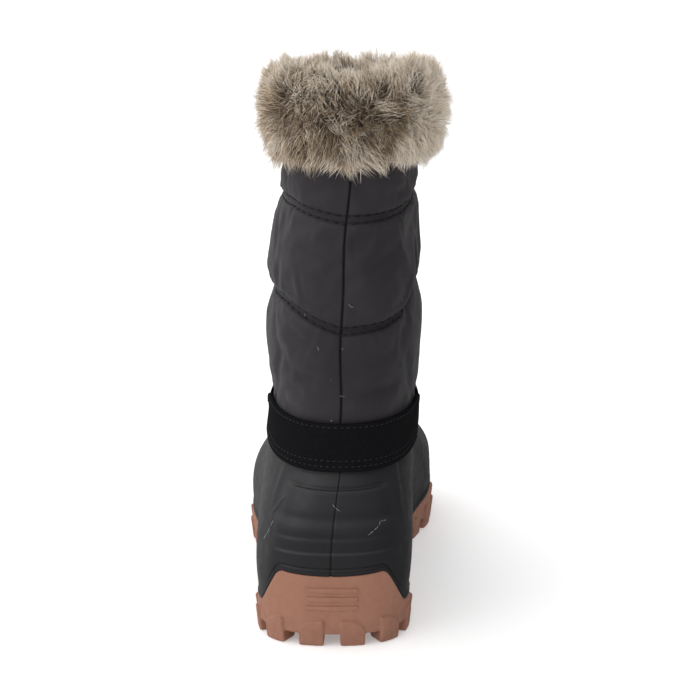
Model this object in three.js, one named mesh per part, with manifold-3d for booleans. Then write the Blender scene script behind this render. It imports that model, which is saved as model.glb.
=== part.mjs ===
// A pull-on snow boot for the left foot: lugged rubber outsole, moulded rubber shell, quilted shaft,
// sewn band, fur cuff and loose insole.
//
// Millimetres, +Z up, toe towards +Y, inner side of the foot towards +X. The boot is built with the
// rear of its sole at y = 0 and the ground at z = 0, and is centred over its own box at the end.
// A place round the boot is given by its turn in radians: 0 at the rear, a quarter turn at the inner
// side, half a turn at the toe and three quarters at the outer side.

import * as THREE from 'three';
import { mergeVertices } from 'three/addons/utils/BufferGeometryUtils.js';
import Module from 'manifold-3d';

const wasm = await Module();
wasm.setup();

// Driving sizes of the sole
const SOLE_LENGTH = 288;
const BALL_WIDTH = 107;
const HEEL_WIDTH = 80;
const LUG_DEPTH = 6.5;
const LUG_WIDTH = 13;
const LUG_PITCH = 21.5;
const LUG_REACH = 15;
const LUG_DRAFT = 4.5;
const LUG_CLIMB = 14.5;
const LUG_PROUD = 1.4;
const LUG_SINK = 1.5;
const LUG_BELOW_TOP = 3;
const BAR_WIDTH = 9;
const BAR_BEND = 9;
const BAR_CLEARANCE = 4;
const SOLE_EDGE = 1.5;
const ARCH_RISE = 2.5;
const TOE_SPRING = 13;
const HEEL_FOOTBED = 22;
const BALL_FOOTBED = 15.5;
const HEEL_TAB_HEIGHT = 38.5;
const SIDEWALL_HEIGHT = 14;
const TOE_BUMPER_HEIGHT = 36;
const TAB_BAR_HEIGHT = 2.4;
const TAB_BAR_PROUD = 0.8;
const TAB_BAR_TURN = 0.11;
const TAB_BAR_PLACE = 0.66;

// Driving sizes of the shell
const SHELL_WALL = 3;
const SOLE_PROUD = 1.2;
const SHELL_BACK_HEIGHT = 101;
const SHELL_FRONT_HEIGHT = 125;
const BEAD_HEIGHT = 2.2;
const BEAD_PROUD = 0.9;
const BEAD_EDGE = 1.4;
const COUNTER_RELIEF = 0.9;
const COLLAR_HEIGHT = 12;
const SHELL_SWELL = 4;
const LEG_SWEEP = 0.35;

// Driving sizes of the leg
const BOOT_HEIGHT = 290;
const LEG_WIDTH = 73;
const LEG_DEPTH = 127;
const LEG_SET_FORWARD = 10;
const LEG_SQUARENESS = 2.25;
const SHAFT_WALL = 3.2;
const SHAFT_HEIGHT = 277;
const UPPER_QUILT_HEIGHT = 219;
const LOWER_QUILT_HEIGHT = 163;
const UPPER_QUILT_RISE = 9;
const LOWER_QUILT_RISE = 20;
const PUFF = 4.6;
const BAND_WALL = 2.2;
const BAND_BELOW_RIM = 11;
const BAND_ABOVE_RIM = 14;
const BAND_FLARE = 1.2;
const FUR_HEIGHT = 47;
const FUR_DEPTH = 11;
const LOCK_LENGTH = 7;
const LOCK_WIDTH = 13;
const LOCK_FLATNESS = 0.5;
const FUR_WAVE = 0.05;
const FUR_WAVES = 9;
const LOCK_STRAY = { turn: 0.12, size: 0.18, step: 2.4, ring: 1.7 };
const LOCK_ROOT = 0.4;
const INSOLE_THICKNESS = 4;

// Clearances between pieces that touch
const GAP = 0.3;
const SEAT_SLOPE_FACTOR = 2;
const FUR_GAP = 0.6;
const INSOLE_GAP = 2.6;

// Fineness of the rings, of the directions read from them and of the distances round the outline
const RING_STEPS = 60;
const FUR_STEPS = 40;
const SLOPE_STEP = 0.02;
const OUTLINE_SAMPLES = 720;
const MERGE_DISTANCE = 1e-4;

const HALF_TURN = Math.PI;
const FULL_TURN = 2 * Math.PI;

// Outline of the sole. The half width is a share of half the heel width plus a share of half the ball
// width, and the centre is a share of the ball width.
const OUTLINE = [
  { at: 0.0, centre: 0.0, heel: 1.0, ball: 0.0 },
  { at: 0.18, centre: 0.0, heel: 1.0, ball: 0.0 },
  { at: 0.3, centre: -0.011, heel: 0.8, ball: 0.125 },
  { at: 0.42, centre: -0.03, heel: 0.55, ball: 0.3 },
  { at: 0.52, centre: -0.035, heel: 0.33, ball: 0.545 },
  { at: 0.62, centre: -0.019, heel: 0.13, ball: 0.82 },
  { at: 0.7, centre: 0.015, heel: 0.0, ball: 0.985 },
  { at: 0.78, centre: 0.04, heel: 0.0, ball: 0.96 },
  { at: 0.86, centre: 0.065, heel: 0.0, ball: 0.92 },
  { at: 0.93, centre: 0.085, heel: 0.0, ball: 0.9 },
  { at: 1.0, centre: 0.1, heel: 0.0, ball: 0.84 },
];
const HEEL_ROUNDING = { share: 0.14, power: 2.6 };
const TOE_ROUNDING = { share: 0.2, power: 2.0 };

// Flat stretches of the tread, as shares of the sole's length
const HEEL_FLAT_END = 0.29;
const BALL_FLAT_START = 0.47;
const BALL_FLAT_END = 0.74;

// Stretch of the edge with no lugs, and the places of the tread's middle bars
const ARCH_BARE = { start: 0.32, end: 0.45 };
const TREAD_BARS = [0.15, 0.24, 0.49, 0.58, 0.67, 0.76, 0.85];

// Thickness of the sole under the footbed, from the heel's value (0) to the ball's (1)
const FOOTBED = [
  { at: 0.0, blend: 0.0 },
  { at: 0.28, blend: 0.05 },
  { at: 0.5, blend: 0.75 },
  { at: 0.68, blend: 1.0 },
  { at: 1.0, blend: 1.0 },
];

// Top line of the outsole by degrees from the rear, as shares of the tab, sidewall and bumper heights
const TOP_LINE = [
  { at: 0, tab: 0.975, side: 0.0, bumper: 0.0 },
  { at: 12, tab: 1.0, side: 0.0, bumper: 0.0 },
  { at: 18, tab: 1.02, side: 0.0, bumper: 0.0 },
  { at: 24, tab: 0.7, side: 0.1, bumper: 0.0 },
  { at: 30, tab: 0.2, side: 0.78, bumper: 0.0 },
  { at: 48, tab: 0.0, side: 1.1, bumper: 0.0 },
  { at: 66, tab: 0.0, side: 1.0, bumper: 0.0 },
  { at: 84, tab: 0.0, side: 1.0, bumper: 0.0 },
  { at: 102, tab: 0.0, side: 0.9, bumper: 0.1 },
  { at: 120, tab: 0.0, side: 0.55, bumper: 0.4 },
  { at: 144, tab: 0.0, side: 0.2, bumper: 0.67 },
  { at: 162, tab: 0.0, side: 0.0, bumper: 0.93 },
  { at: 180, tab: 0.0, side: 0.0, bumper: 1.0 },
];

// Sections of the leg by share of the boot's height: place of its rear, its depth, its width and its
// lean to the inner side, as shares of the leg's depth and width
const LEG = [
  { at: 0.28, back: 0.008, depth: 1.1, width: 1.06, lean: 0.05 },
  { at: 0.35, back: 0.016, depth: 1.05, width: 1.04, lean: 0.06 },
  { at: 0.4, back: 0.02, depth: 1.02, width: 1.03, lean: 0.07 },
  { at: 0.45, back: 0.016, depth: 1.0, width: 1.015, lean: 0.073 },
  { at: 0.55, back: 0.0, depth: 1.0, width: 1.0, lean: 0.073 },
  { at: 0.69, back: 0.0, depth: 1.0, width: 0.985, lean: 0.076 },
  { at: 0.81, back: 0.008, depth: 0.985, width: 0.97, lean: 0.11 },
  { at: 0.9, back: 0.008, depth: 0.985, width: 0.98, lean: 0.132 },
  { at: 0.98, back: 0.0, depth: 1.0, width: 1.0, lean: 0.137 },
];

// Rise of the quilting lines by degrees from the rear, as shares of the line's rise. Both dip in a V
// at the rear and at the front.
const QUILT_LINE = [
  { at: 0, inner: 0.0, outer: 0.0 },
  { at: 30, inner: 0.2, outer: 0.42 },
  { at: 48, inner: 0.45, outer: 0.72 },
  { at: 72, inner: 1.0, outer: 0.95 },
  { at: 108, inner: 1.0, outer: 1.0 },
  { at: 144, inner: 0.5, outer: 0.5 },
  { at: 180, inner: 0.0, outer: 0.0 },
];

// Swelling of each quilted section from its lower seam (0) to its upper seam (1), as shares of the puff
const LOWER_PUFF = [
  { at: 0.0, swell: 0.0 },
  { at: 0.25, swell: 0.55 },
  { at: 0.6, swell: 1.0 },
  { at: 0.9, swell: 0.6 },
  { at: 1.0, swell: 0.0 },
];
const MIDDLE_PUFF = [
  { at: 0.08, swell: 0.45 },
  { at: 0.28, swell: 0.8 },
  { at: 0.6, swell: 0.6 },
  { at: 0.92, swell: 0.3 },
  { at: 1.0, swell: 0.0 },
];
const UPPER_PUFF = [
  { at: 0.15, swell: 0.6 },
  { at: 0.45, swell: 0.75 },
  { at: 1.0, swell: 0.0 },
];

// Relief of the shell from its lower edge (0) to the start of its collar (1): the heel counter is a
// raised panel between two ledges with two soft grooves across it
const COUNTER = [
  { at: 0.14, raise: 0.0 },
  { at: 0.18, raise: 1.0 },
  { at: 0.29, raise: 1.0 },
  { at: 0.34, raise: 0.35 },
  { at: 0.4, raise: 1.0 },
  { at: 0.53, raise: 1.0 },
  { at: 0.58, raise: 0.35 },
  { at: 0.64, raise: 1.0 },
  { at: 0.8, raise: 1.0 },
  { at: 0.85, raise: 0.0 },
  { at: 1.0, raise: 0.0 },
];
const COUNTER_REACH = { full: 40, none: 75 };
const INNER_ROWS = [0.92, 0.7, 0.45, 0.2];

// Fullness of the shell's wall by share of the boot's length: the rise of its lower handle, the reach
// and drop of its upper handle, as shares of the wall's own rise and run, and its share of the swell
const FULLNESS = [
  { at: 0.0, rise: 0.3, reach: 0.95, drop: 0.5, swell: 0.5 },
  { at: 0.2, rise: 0.32, reach: 0.9, drop: 0.5, swell: 1.0 },
  { at: 0.5, rise: 0.35, reach: 0.65, drop: 0.58, swell: 1.0 },
  { at: 0.75, rise: 0.4, reach: 0.52, drop: 0.62, swell: 0.9 },
  { at: 1.0, rise: 0.42, reach: 0.5, drop: 0.62, swell: 0.4 },
];

// Section of the fur cuff, a saddle over the shaft's upper edge. Each row gives the distance out from
// the leg as a share of the fur's depth, and the height below the top as a share of the fur's height.
const FUR_SECTION = [
  { out: 0.5, below: 0.95 },
  { out: 0.75, below: 1.0 },
  { out: 0.97, below: 0.86 },
  { out: 1.07, below: 0.62 },
  { out: 1.0, below: 0.35 },
  { out: 0.68, below: 0.12 },
  { out: 0.15, below: 0.0 },
  { out: -0.36, below: 0.06 },
  { out: -0.62, below: 0.22 },
  { out: -0.6, below: 0.5 },
  { out: -0.42, below: 0.6 },
];
const FUR_GRASP = 0.54;
const FUR_HOLD = 0.76;

// Rings of fur locks by their place in the section above (row number and share to the next row), how
// many there are, their size and the way they point, as shares outwards and upwards
const LOCK_RINGS = [
  { row: 1, share: 0.15, count: 24, size: 0.9, out: 0.3, up: -1.0 },
  { row: 2, share: 0.1, count: 20, size: 1.0, out: 0.6, up: -0.85 },
  { row: 4, share: 0.0, count: 16, size: 1.0, out: 0.8, up: -0.6 },
];

// Smooth value of one column of a table, read at a place given in its "at" column
function read(table, column, place) {
  const last = table.length - 1;
  if (place <= table[0].at) return table[0][column];
  if (place >= table[last].at) return table[last][column];
  const low = table.findIndex((row) => row.at > place) - 1;
  const slope = (k) => {
    const before = table[Math.max(k - 1, 0)];
    const after = table[Math.min(k + 1, last)];
    return (after[column] - before[column]) / (after.at - before.at);
  };
  const span = table[low + 1].at - table[low].at;
  const t = (place - table[low].at) / span;
  const rise = table[low + 1][column] - table[low][column];
  const bend = t * (1 - t);
  const ease = t * t * (3 - 2 * t);
  return table[low][column] + rise * ease + span * bend * (slope(low) * (1 - t) - slope(low + 1) * t);
}

// Straight value between the rows of a table
function readStraight(table, column, place) {
  const next = table.findIndex((row) => row.at >= place);
  if (next < 0) return table[table.length - 1][column];
  if (next === 0) return table[0][column];
  const t = (place - table[next - 1].at) / (table[next].at - table[next - 1].at);
  return THREE.MathUtils.lerp(table[next - 1][column], table[next][column], t);
}

// Degrees from the rear, 0 to 180 on either side
function degreesFromRear(turn) {
  return THREE.MathUtils.radToDeg(Math.acos(THREE.MathUtils.clamp(Math.cos(turn), -1, 1)));
}

function turns(count) {
  return Array.from({ length: count }, (_, i) => (FULL_TURN * i) / count);
}

// Share of the boot's length at a turn
function lengthShare(turn) {
  return (1 - Math.cos(turn)) / 2;
}

// Rounds the two ends of the outline
function endRounding(share) {
  const fromHeel = Math.min(share / HEEL_ROUNDING.share, 1);
  const fromToe = Math.min((1 - share) / TOE_ROUNDING.share, 1);
  const heel = (1 - (1 - fromHeel) ** HEEL_ROUNDING.power) ** (1 / HEEL_ROUNDING.power);
  const toe = (1 - (1 - fromToe) ** TOE_ROUNDING.power) ** (1 / TOE_ROUNDING.power);
  return heel * toe;
}

function outlinePoint(turn) {
  const share = lengthShare(turn);
  const half = (read(OUTLINE, 'heel', share) * HEEL_WIDTH + read(OUTLINE, 'ball', share) * BALL_WIDTH) / 2;
  const side = Math.sin(turn) < 0 ? -1 : 1;
  const x = read(OUTLINE, 'centre', share) * BALL_WIDTH + side * half * endRounding(share);
  return new THREE.Vector2(x, share * SOLE_LENGTH);
}

// Outward direction of the sole's outline
function outlineNormal(turn) {
  const along = outlinePoint(turn + SLOPE_STEP).sub(outlinePoint(turn - SLOPE_STEP)).normalize();
  return new THREE.Vector2(along.y, -along.x);
}

// Point of the outline moved inwards, at a height
function insetPoint(turn, inset, z) {
  const point = outlinePoint(turn).addScaledVector(outlineNormal(turn), -inset);
  return new THREE.Vector3(point.x, point.y, z);
}

// Height of the tread's contact line above the ground
function treadLine(y) {
  const share = y / SOLE_LENGTH;
  if (share > BALL_FLAT_END) return TOE_SPRING * ((share - BALL_FLAT_END) / (1 - BALL_FLAT_END)) ** 2;
  if (share <= HEEL_FLAT_END || share >= BALL_FLAT_START) return 0;
  const along = (share - HEEL_FLAT_END) / (BALL_FLAT_START - HEEL_FLAT_END);
  return ARCH_RISE * Math.sin(HALF_TURN * along) ** 2;
}

function footbedHeight(y) {
  const blend = read(FOOTBED, 'blend', y / SOLE_LENGTH);
  return treadLine(y) + THREE.MathUtils.lerp(HEEL_FOOTBED, BALL_FOOTBED, blend);
}

// Point of the footbed inside the outline, or a distance above it
function footbedPoint(turn, inset, above) {
  const point = insetPoint(turn, inset, 0);
  return point.setZ(footbedHeight(point.y) + above);
}

function soleTop(turn) {
  const degrees = degreesFromRear(turn);
  return (
    readStraight(TOP_LINE, 'tab', degrees) * HEEL_TAB_HEIGHT +
    readStraight(TOP_LINE, 'side', degrees) * SIDEWALL_HEIGHT +
    readStraight(TOP_LINE, 'bumper', degrees) * TOE_BUMPER_HEIGHT
  );
}

// Height of the shell's lower edge, a clearance above the sole measured square to its sloping top
function shellSeat(turn) {
  const step = HALF_TURN / RING_STEPS;
  const run = outlinePoint(turn + step).distanceTo(outlinePoint(turn - step));
  const slope = (soleTop(turn + step) - soleTop(turn - step)) / run;
  return soleTop(turn) + GAP * Math.hypot(1, slope * SEAT_SLOPE_FACTOR);
}

// Turn on the leg's section that belongs to a turn on the sole's outline, which reaches further forward
function legTurn(turn) {
  return turn + LEG_SWEEP * Math.sin(turn);
}

// Point of the leg's section at a height, a given distance outside it
function legPoint(turn, z, outside) {
  const share = z / BOOT_HEIGHT;
  const halfDepth = (read(LEG, 'depth', share) * LEG_DEPTH) / 2;
  const halfWidth = (read(LEG, 'width', share) * LEG_WIDTH) / 2;
  const centre = read(LEG, 'lean', share) * LEG_WIDTH;
  const middle = LEG_SET_FORWARD + read(LEG, 'back', share) * LEG_DEPTH + halfDepth;
  const power = 2 / LEG_SQUARENESS;
  const sine = Math.sin(legTurn(turn));
  const cosine = Math.cos(legTurn(turn));
  const across = Math.sign(sine) * Math.abs(sine) ** power;
  const along = Math.sign(cosine) * Math.abs(cosine) ** power;
  return new THREE.Vector3(
    centre + (halfWidth + outside) * across,
    middle - (halfDepth + outside) * along,
    z,
  );
}

// Height of the shell's upper edge
function rimHeight(turn) {
  return THREE.MathUtils.lerp(SHELL_BACK_HEIGHT, SHELL_FRONT_HEIGHT, lengthShare(legTurn(turn)) ** 2);
}

function quiltHeight(turn, height, rise) {
  const column = Math.sin(turn) < 0 ? 'outer' : 'inner';
  return height + rise * readStraight(QUILT_LINE, column, degreesFromRear(legTurn(turn)));
}

// Joins rings of points into one closed body. Each ring runs round the boot and the rings go outwards
// and upwards; "capped" closes the first and last ring across the boot, and otherwise the last ring is
// joined to the first, which makes a hollow wall.
function ringBody(rings, capped) {
  const count = rings[0].length;
  const positions = rings.flat().flatMap((point) => [point.x, point.y, point.z]);
  const index = [];
  const bands = capped ? rings.length - 1 : rings.length;
  for (let j = 0; j < bands; j += 1) {
    const low = j * count;
    const high = ((j + 1) % rings.length) * count;
    for (let i = 0; i < count; i += 1) {
      const next = (i + 1) % count;
      index.push(low + i, low + next, high + next, low + i, high + next, high + i);
    }
  }
  if (capped) {
    const top = (rings.length - 1) * count;
    for (let i = 0; i < count / 2; i += 1) {
      const across = (count - i) % count;
      const nextAcross = count - i - 1;
      if (across !== i) {
        index.push(i, across, nextAcross);
        index.push(top + i, top + nextAcross, top + across);
      }
      if (i + 1 !== nextAcross) {
        index.push(i, nextAcross, i + 1);
        index.push(top + i, top + i + 1, top + nextAcross);
      }
    }
  }
  const geometry = new THREE.BufferGeometry();
  geometry.setAttribute('position', new THREE.Float32BufferAttribute(positions, 3));
  geometry.setIndex(index);
  return geometry;
}

function toSolid(geometry) {
  const bare = geometry.clone();
  bare.deleteAttribute('normal');
  bare.deleteAttribute('uv');
  const merged = mergeVertices(bare, MERGE_DISTANCE);
  return new wasm.Manifold(
    new wasm.Mesh({
      numProp: 3,
      vertProperties: new Float32Array(merged.attributes.position.array),
      triVerts: new Uint32Array(merged.index.array),
    }),
  );
}

function toGeometry(solid) {
  const mesh = solid.getMesh();
  const geometry = new THREE.BufferGeometry();
  geometry.setAttribute('position', new THREE.Float32BufferAttribute(mesh.vertProperties, 3));
  geometry.setIndex(Array.from(mesh.triVerts));
  return geometry;
}

// Block with quadrangular stations along it, each given as four corners: outer low, outer high, inner
// high and inner low, as seen with the next station ahead
function stationBody(stations) {
  const positions = stations.flat().flatMap((point) => [point.x, point.y, point.z]);
  const index = [];
  const last = (stations.length - 1) * 4;
  for (let j = 0; j < last; j += 4) {
    for (let k = 0; k < 4; k += 1) {
      const next = (k + 1) % 4;
      index.push(j + k, j + 4 + k, j + 4 + next, j + k, j + 4 + next, j + next);
    }
  }
  index.push(0, 1, 2, 0, 2, 3);
  index.push(last, last + 2, last + 1, last, last + 3, last + 2);
  const geometry = new THREE.BufferGeometry();
  geometry.setAttribute('position', new THREE.Float32BufferAttribute(positions, 3));
  geometry.setIndex(index);
  return geometry;
}

// Turns at even distances along one side of the outline, from the rear to the toe
function outlineTurns(side, firstDistance, pitch) {
  const found = [];
  let travelled = 0;
  let before = outlinePoint(0);
  for (let i = 1; i <= OUTLINE_SAMPLES; i += 1) {
    const turn = (side * HALF_TURN * i) / OUTLINE_SAMPLES;
    const here = outlinePoint(turn);
    travelled += here.distanceTo(before);
    before = here;
    if (travelled >= firstDistance + found.length * pitch) found.push(turn);
  }
  return found;
}

// A lug at the edge of the tread. Its outer face climbs the sidewall, most at the end nearer the rear.
function edgeLug(side, startTurn, endTurn) {
  const stations = [0, 0.5, 1].map((t) => {
    const turn = THREE.MathUtils.lerp(startTurn, endTurn, t);
    const low = treadLine(outlinePoint(turn).y);
    const room = soleTop(turn) - LUG_BELOW_TOP - low;
    const climb = THREE.MathUtils.lerp(Math.min(LUG_CLIMB, room), LUG_DEPTH + LUG_SINK, t);
    return [
      insetPoint(turn, 0, low),
      insetPoint(turn, -LUG_PROUD * (1 - t / 2), low + climb),
      insetPoint(turn, LUG_REACH, low + LUG_DEPTH + LUG_SINK),
      insetPoint(turn, LUG_REACH - LUG_DRAFT, low),
    ];
  });
  return stationBody(side > 0 ? stations : stations.reverse());
}

// Reach of a tread bar from the sole's centre line that keeps it clear of the edge lugs
function barReach(y) {
  const turn = Math.acos(1 - (2 * y) / SOLE_LENGTH);
  const middle = read(OUTLINE, 'centre', y / SOLE_LENGTH) * BALL_WIDTH;
  return outlinePoint(turn).x - middle - (LUG_REACH + BAR_CLEARANCE) / outlineNormal(turn).x;
}

// A bar of the tread between the edge lugs, bent backwards in the middle
function treadBar(y) {
  const middle = read(OUTLINE, 'centre', y / SOLE_LENGTH) * BALL_WIDTH;
  const reach = Math.min(barReach(y), barReach(y + (BAR_BEND + BAR_WIDTH) / 2));
  const stations = [-1, 0, 1].map((share) => {
    const rear = y - BAR_WIDTH / 2 + BAR_BEND * (Math.abs(share) - 1 / 2);
    const low = treadLine(y);
    return [
      new THREE.Vector3(middle + share * reach, rear, low),
      new THREE.Vector3(middle + share * reach, rear, low + LUG_DEPTH + LUG_SINK),
      new THREE.Vector3(middle + share * reach, rear + BAR_WIDTH, low + LUG_DEPTH + LUG_SINK),
      new THREE.Vector3(middle + share * reach, rear + BAR_WIDTH, low),
    ];
  });
  return stationBody(stations);
}

// Three plain raised bars in the middle of the heel tab
function heelTabBar(z) {
  const stations = [-1, 0, 1].map((share) => {
    const turn = share * TAB_BAR_TURN;
    return [
      insetPoint(turn, -TAB_BAR_PROUD, z - TAB_BAR_HEIGHT / 2),
      insetPoint(turn, -TAB_BAR_PROUD, z + TAB_BAR_HEIGHT / 2),
      insetPoint(turn, SOLE_PROUD, z + TAB_BAR_HEIGHT / 2),
      insetPoint(turn, SOLE_PROUD, z - TAB_BAR_HEIGHT / 2),
    ];
  });
  return stationBody(stations);
}

function outsoleGeometry() {
  const innerInset = SOLE_PROUD + SHELL_WALL + GAP;
  const base = (turn) => treadLine(outlinePoint(turn).y) + LUG_DEPTH;
  const ring = (inset, height) => turns(RING_STEPS).map((turn) => insetPoint(turn, inset, height(turn)));
  const rings = [
    ring(SOLE_EDGE * 2, base),
    ring(0, (turn) => base(turn) + SOLE_EDGE),
    ring(0, (turn) => soleTop(turn) - SOLE_EDGE),
    ring(SOLE_PROUD, soleTop),
    ring(innerInset, soleTop),
    turns(RING_STEPS).map((turn) => footbedPoint(turn, innerInset + SOLE_EDGE / 2, 0)),
  ];
  let solid = toSolid(ringBody(rings, true));
  for (const side of [1, -1]) {
    const starts = outlineTurns(side, LUG_PITCH / 2 - LUG_WIDTH / 2, LUG_PITCH);
    const ends = outlineTurns(side, LUG_PITCH / 2 + LUG_WIDTH / 2, LUG_PITCH);
    ends.forEach((endTurn, k) => {
      const share = lengthShare(endTurn);
      const underArch = share > ARCH_BARE.start && share < ARCH_BARE.end;
      if (!underArch) solid = solid.add(toSolid(edgeLug(side, starts[k], endTurn)));
    });
  }
  for (const share of TREAD_BARS) solid = solid.add(toSolid(treadBar(share * SOLE_LENGTH)));
  for (const step of [-1, 0, 1]) {
    solid = solid.add(toSolid(heelTabBar(TAB_BAR_PLACE * HEEL_TAB_HEIGHT + step * TAB_BAR_HEIGHT * 2)));
  }
  return toGeometry(solid);
}

// Smooth surface of the shell, from its lower edge on the sole (0) to the start of its collar (1)
function shellSurface(turn, share) {
  const place = lengthShare(turn);
  const low = insetPoint(turn, SOLE_PROUD, shellSeat(turn));
  const high = legPoint(turn, rimHeight(turn) - COLLAR_HEIGHT, 0);
  const rise = high.z - low.z;
  const normal = outlineNormal(turn).multiplyScalar(SHELL_SWELL * read(FULLNESS, 'swell', place));
  const swell = new THREE.Vector3(normal.x, normal.y, 0);
  const lowHandle = low.clone().add(swell).setZ(low.z + rise * read(FULLNESS, 'rise', place));
  const highHandle = high.clone().lerp(low, read(FULLNESS, 'reach', place)).add(swell)
    .setZ(high.z - rise * read(FULLNESS, 'drop', place));
  return new THREE.CubicBezierCurve3(low, lowHandle, highHandle, high).getPoint(share);
}

function shellNormal(turn, share) {
  const below = Math.max(share - SLOPE_STEP, 0);
  const above = Math.min(share + SLOPE_STEP, 1);
  const up = shellSurface(turn, above).sub(shellSurface(turn, below));
  const round = shellSurface(turn + SLOPE_STEP, share).sub(shellSurface(turn - SLOPE_STEP, share));
  return round.cross(up).normalize();
}

function shellRelief(turn, share) {
  const fade = THREE.MathUtils.smoothstep(degreesFromRear(turn), COUNTER_REACH.full, COUNTER_REACH.none);
  return COUNTER_RELIEF * read(COUNTER, 'raise', share) * (1 - fade);
}

function shellGeometry() {
  const point = (turn, share, outside) =>
    shellSurface(turn, share).addScaledVector(shellNormal(turn, share), outside);
  const beadShare = (turn) => {
    const rise = rimHeight(turn) - COLLAR_HEIGHT - soleTop(turn);
    return BEAD_HEIGHT / (3 * read(FULLNESS, 'rise', lengthShare(turn)) * rise);
  };
  const ring = (place) => turns(RING_STEPS).map(place);
  const outer = [
    ring((turn) => point(turn, 0, BEAD_PROUD).setZ(shellSeat(turn))),
    ring((turn) => point(turn, beadShare(turn), BEAD_PROUD)),
    ring((turn) => point(turn, beadShare(turn) * BEAD_EDGE, 0)),
    ...COUNTER.map((row) => ring((turn) => point(turn, row.at, shellRelief(turn, row.at)))),
    ring((turn) => legPoint(turn, rimHeight(turn), 0)),
  ];
  const inner = [
    ring((turn) => legPoint(turn, rimHeight(turn), -SHELL_WALL)),
    ring((turn) => legPoint(turn, rimHeight(turn) - COLLAR_HEIGHT, -SHELL_WALL)),
    ...INNER_ROWS.map((share) => ring((turn) => point(turn, share, -SHELL_WALL))),
    ring((turn) => point(turn, 0, -SHELL_WALL).setZ(shellSeat(turn))),
  ];
  return ringBody([...outer, ...inner], false);
}

function shaftGeometry() {
  const upperSeam = (turn) => quiltHeight(turn, UPPER_QUILT_HEIGHT, UPPER_QUILT_RISE);
  const lowerSeam = (turn) => quiltHeight(turn, LOWER_QUILT_HEIGHT, LOWER_QUILT_RISE);
  const bandTop = (turn) => rimHeight(turn) + BAND_ABOVE_RIM;
  const furHold = () => BOOT_HEIGHT - FUR_HEIGHT * FUR_HOLD;
  const ring = (place) => turns(RING_STEPS).map(place);
  const puff = (table, low, high) =>
    table.map((row) =>
      ring((turn) => {
        const z = THREE.MathUtils.lerp(low(turn), high(turn), row.at);
        return legPoint(turn, z, row.swell * PUFF);
      }),
    );
  const bottom = (turn) => rimHeight(turn) + GAP;
  const innerHeights = [UPPER_QUILT_HEIGHT, LOWER_QUILT_HEIGHT];
  const rings = [
    ring((turn) => legPoint(turn, bottom(turn), 0)),
    ...puff(LOWER_PUFF, bandTop, lowerSeam),
    ...puff(MIDDLE_PUFF, lowerSeam, upperSeam),
    ...puff(UPPER_PUFF, upperSeam, furHold),
    ring((turn) => legPoint(turn, SHAFT_HEIGHT, 0)),
    ring((turn) => legPoint(turn, SHAFT_HEIGHT, -SHAFT_WALL)),
    ring((turn) => legPoint(turn, furHold(), -SHAFT_WALL)),
    ...innerHeights.map((z) => ring((turn) => legPoint(turn, z, -SHAFT_WALL))),
    ring((turn) => legPoint(turn, bottom(turn), -SHAFT_WALL)),
  ];
  return ringBody(rings, false);
}

function bandGeometry() {
  const flare = (turn) => BAND_FLARE * Math.sin(turn) ** 4;
  const ring = (above, outside) =>
    turns(RING_STEPS).map((turn) => legPoint(turn, rimHeight(turn) + above, outside(turn)));
  const rings = [
    ring(-BAND_BELOW_RIM, () => GAP + BAND_WALL),
    ring(0, () => GAP + BAND_WALL),
    ring(BAND_ABOVE_RIM, (turn) => GAP + BAND_WALL + flare(turn)),
    ring(BAND_ABOVE_RIM, (turn) => GAP + flare(turn)),
    ring(0, () => GAP),
    ring(-BAND_BELOW_RIM, () => GAP),
  ];
  return ringBody(rings, false);
}

function furPoint(turn, section) {
  const wave = 1 + FUR_WAVE * Math.sin(FUR_WAVES * turn + section.below * FUR_WAVES);
  return legPoint(turn, BOOT_HEIGHT - section.below * FUR_HEIGHT, section.out * FUR_DEPTH * wave);
}

// A tapering lock of fur, rooted inside the cuff and pointing away from it
function furLock(turn, section, ring, size) {
  const root = furPoint(turn, section);
  const ahead = furPoint(turn + SLOPE_STEP, section);
  const along = ahead.sub(furPoint(turn - SLOPE_STEP, section)).normalize();
  const outwards = new THREE.Vector3(along.y, -along.x, 0);
  const aim = outwards.clone().multiplyScalar(ring.out).setZ(ring.up).normalize();
  const across = new THREE.Vector3(-outwards.y, outwards.x, 0);
  const thick = new THREE.Vector3().crossVectors(aim, across);
  const tip = root.clone().addScaledVector(aim, LOCK_LENGTH * size);
  const base = root.clone().addScaledVector(aim, -LOCK_LENGTH * LOCK_ROOT);
  const corner = (a, b) =>
    base.clone().addScaledVector(across, (a * LOCK_WIDTH * size) / 2)
      .addScaledVector(thick, (b * LOCK_WIDTH * LOCK_FLATNESS * size) / 2);
  const corners = [corner(-1, -1), corner(1, -1), corner(1, 1), corner(-1, 1), tip];
  const geometry = new THREE.BufferGeometry();
  const positions = corners.flatMap((point) => [point.x, point.y, point.z]);
  geometry.setAttribute('position', new THREE.Float32BufferAttribute(positions, 3));
  geometry.setIndex([0, 1, 4, 1, 2, 4, 2, 3, 4, 3, 0, 4, 0, 2, 1, 0, 3, 2]);
  return geometry;
}

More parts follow.
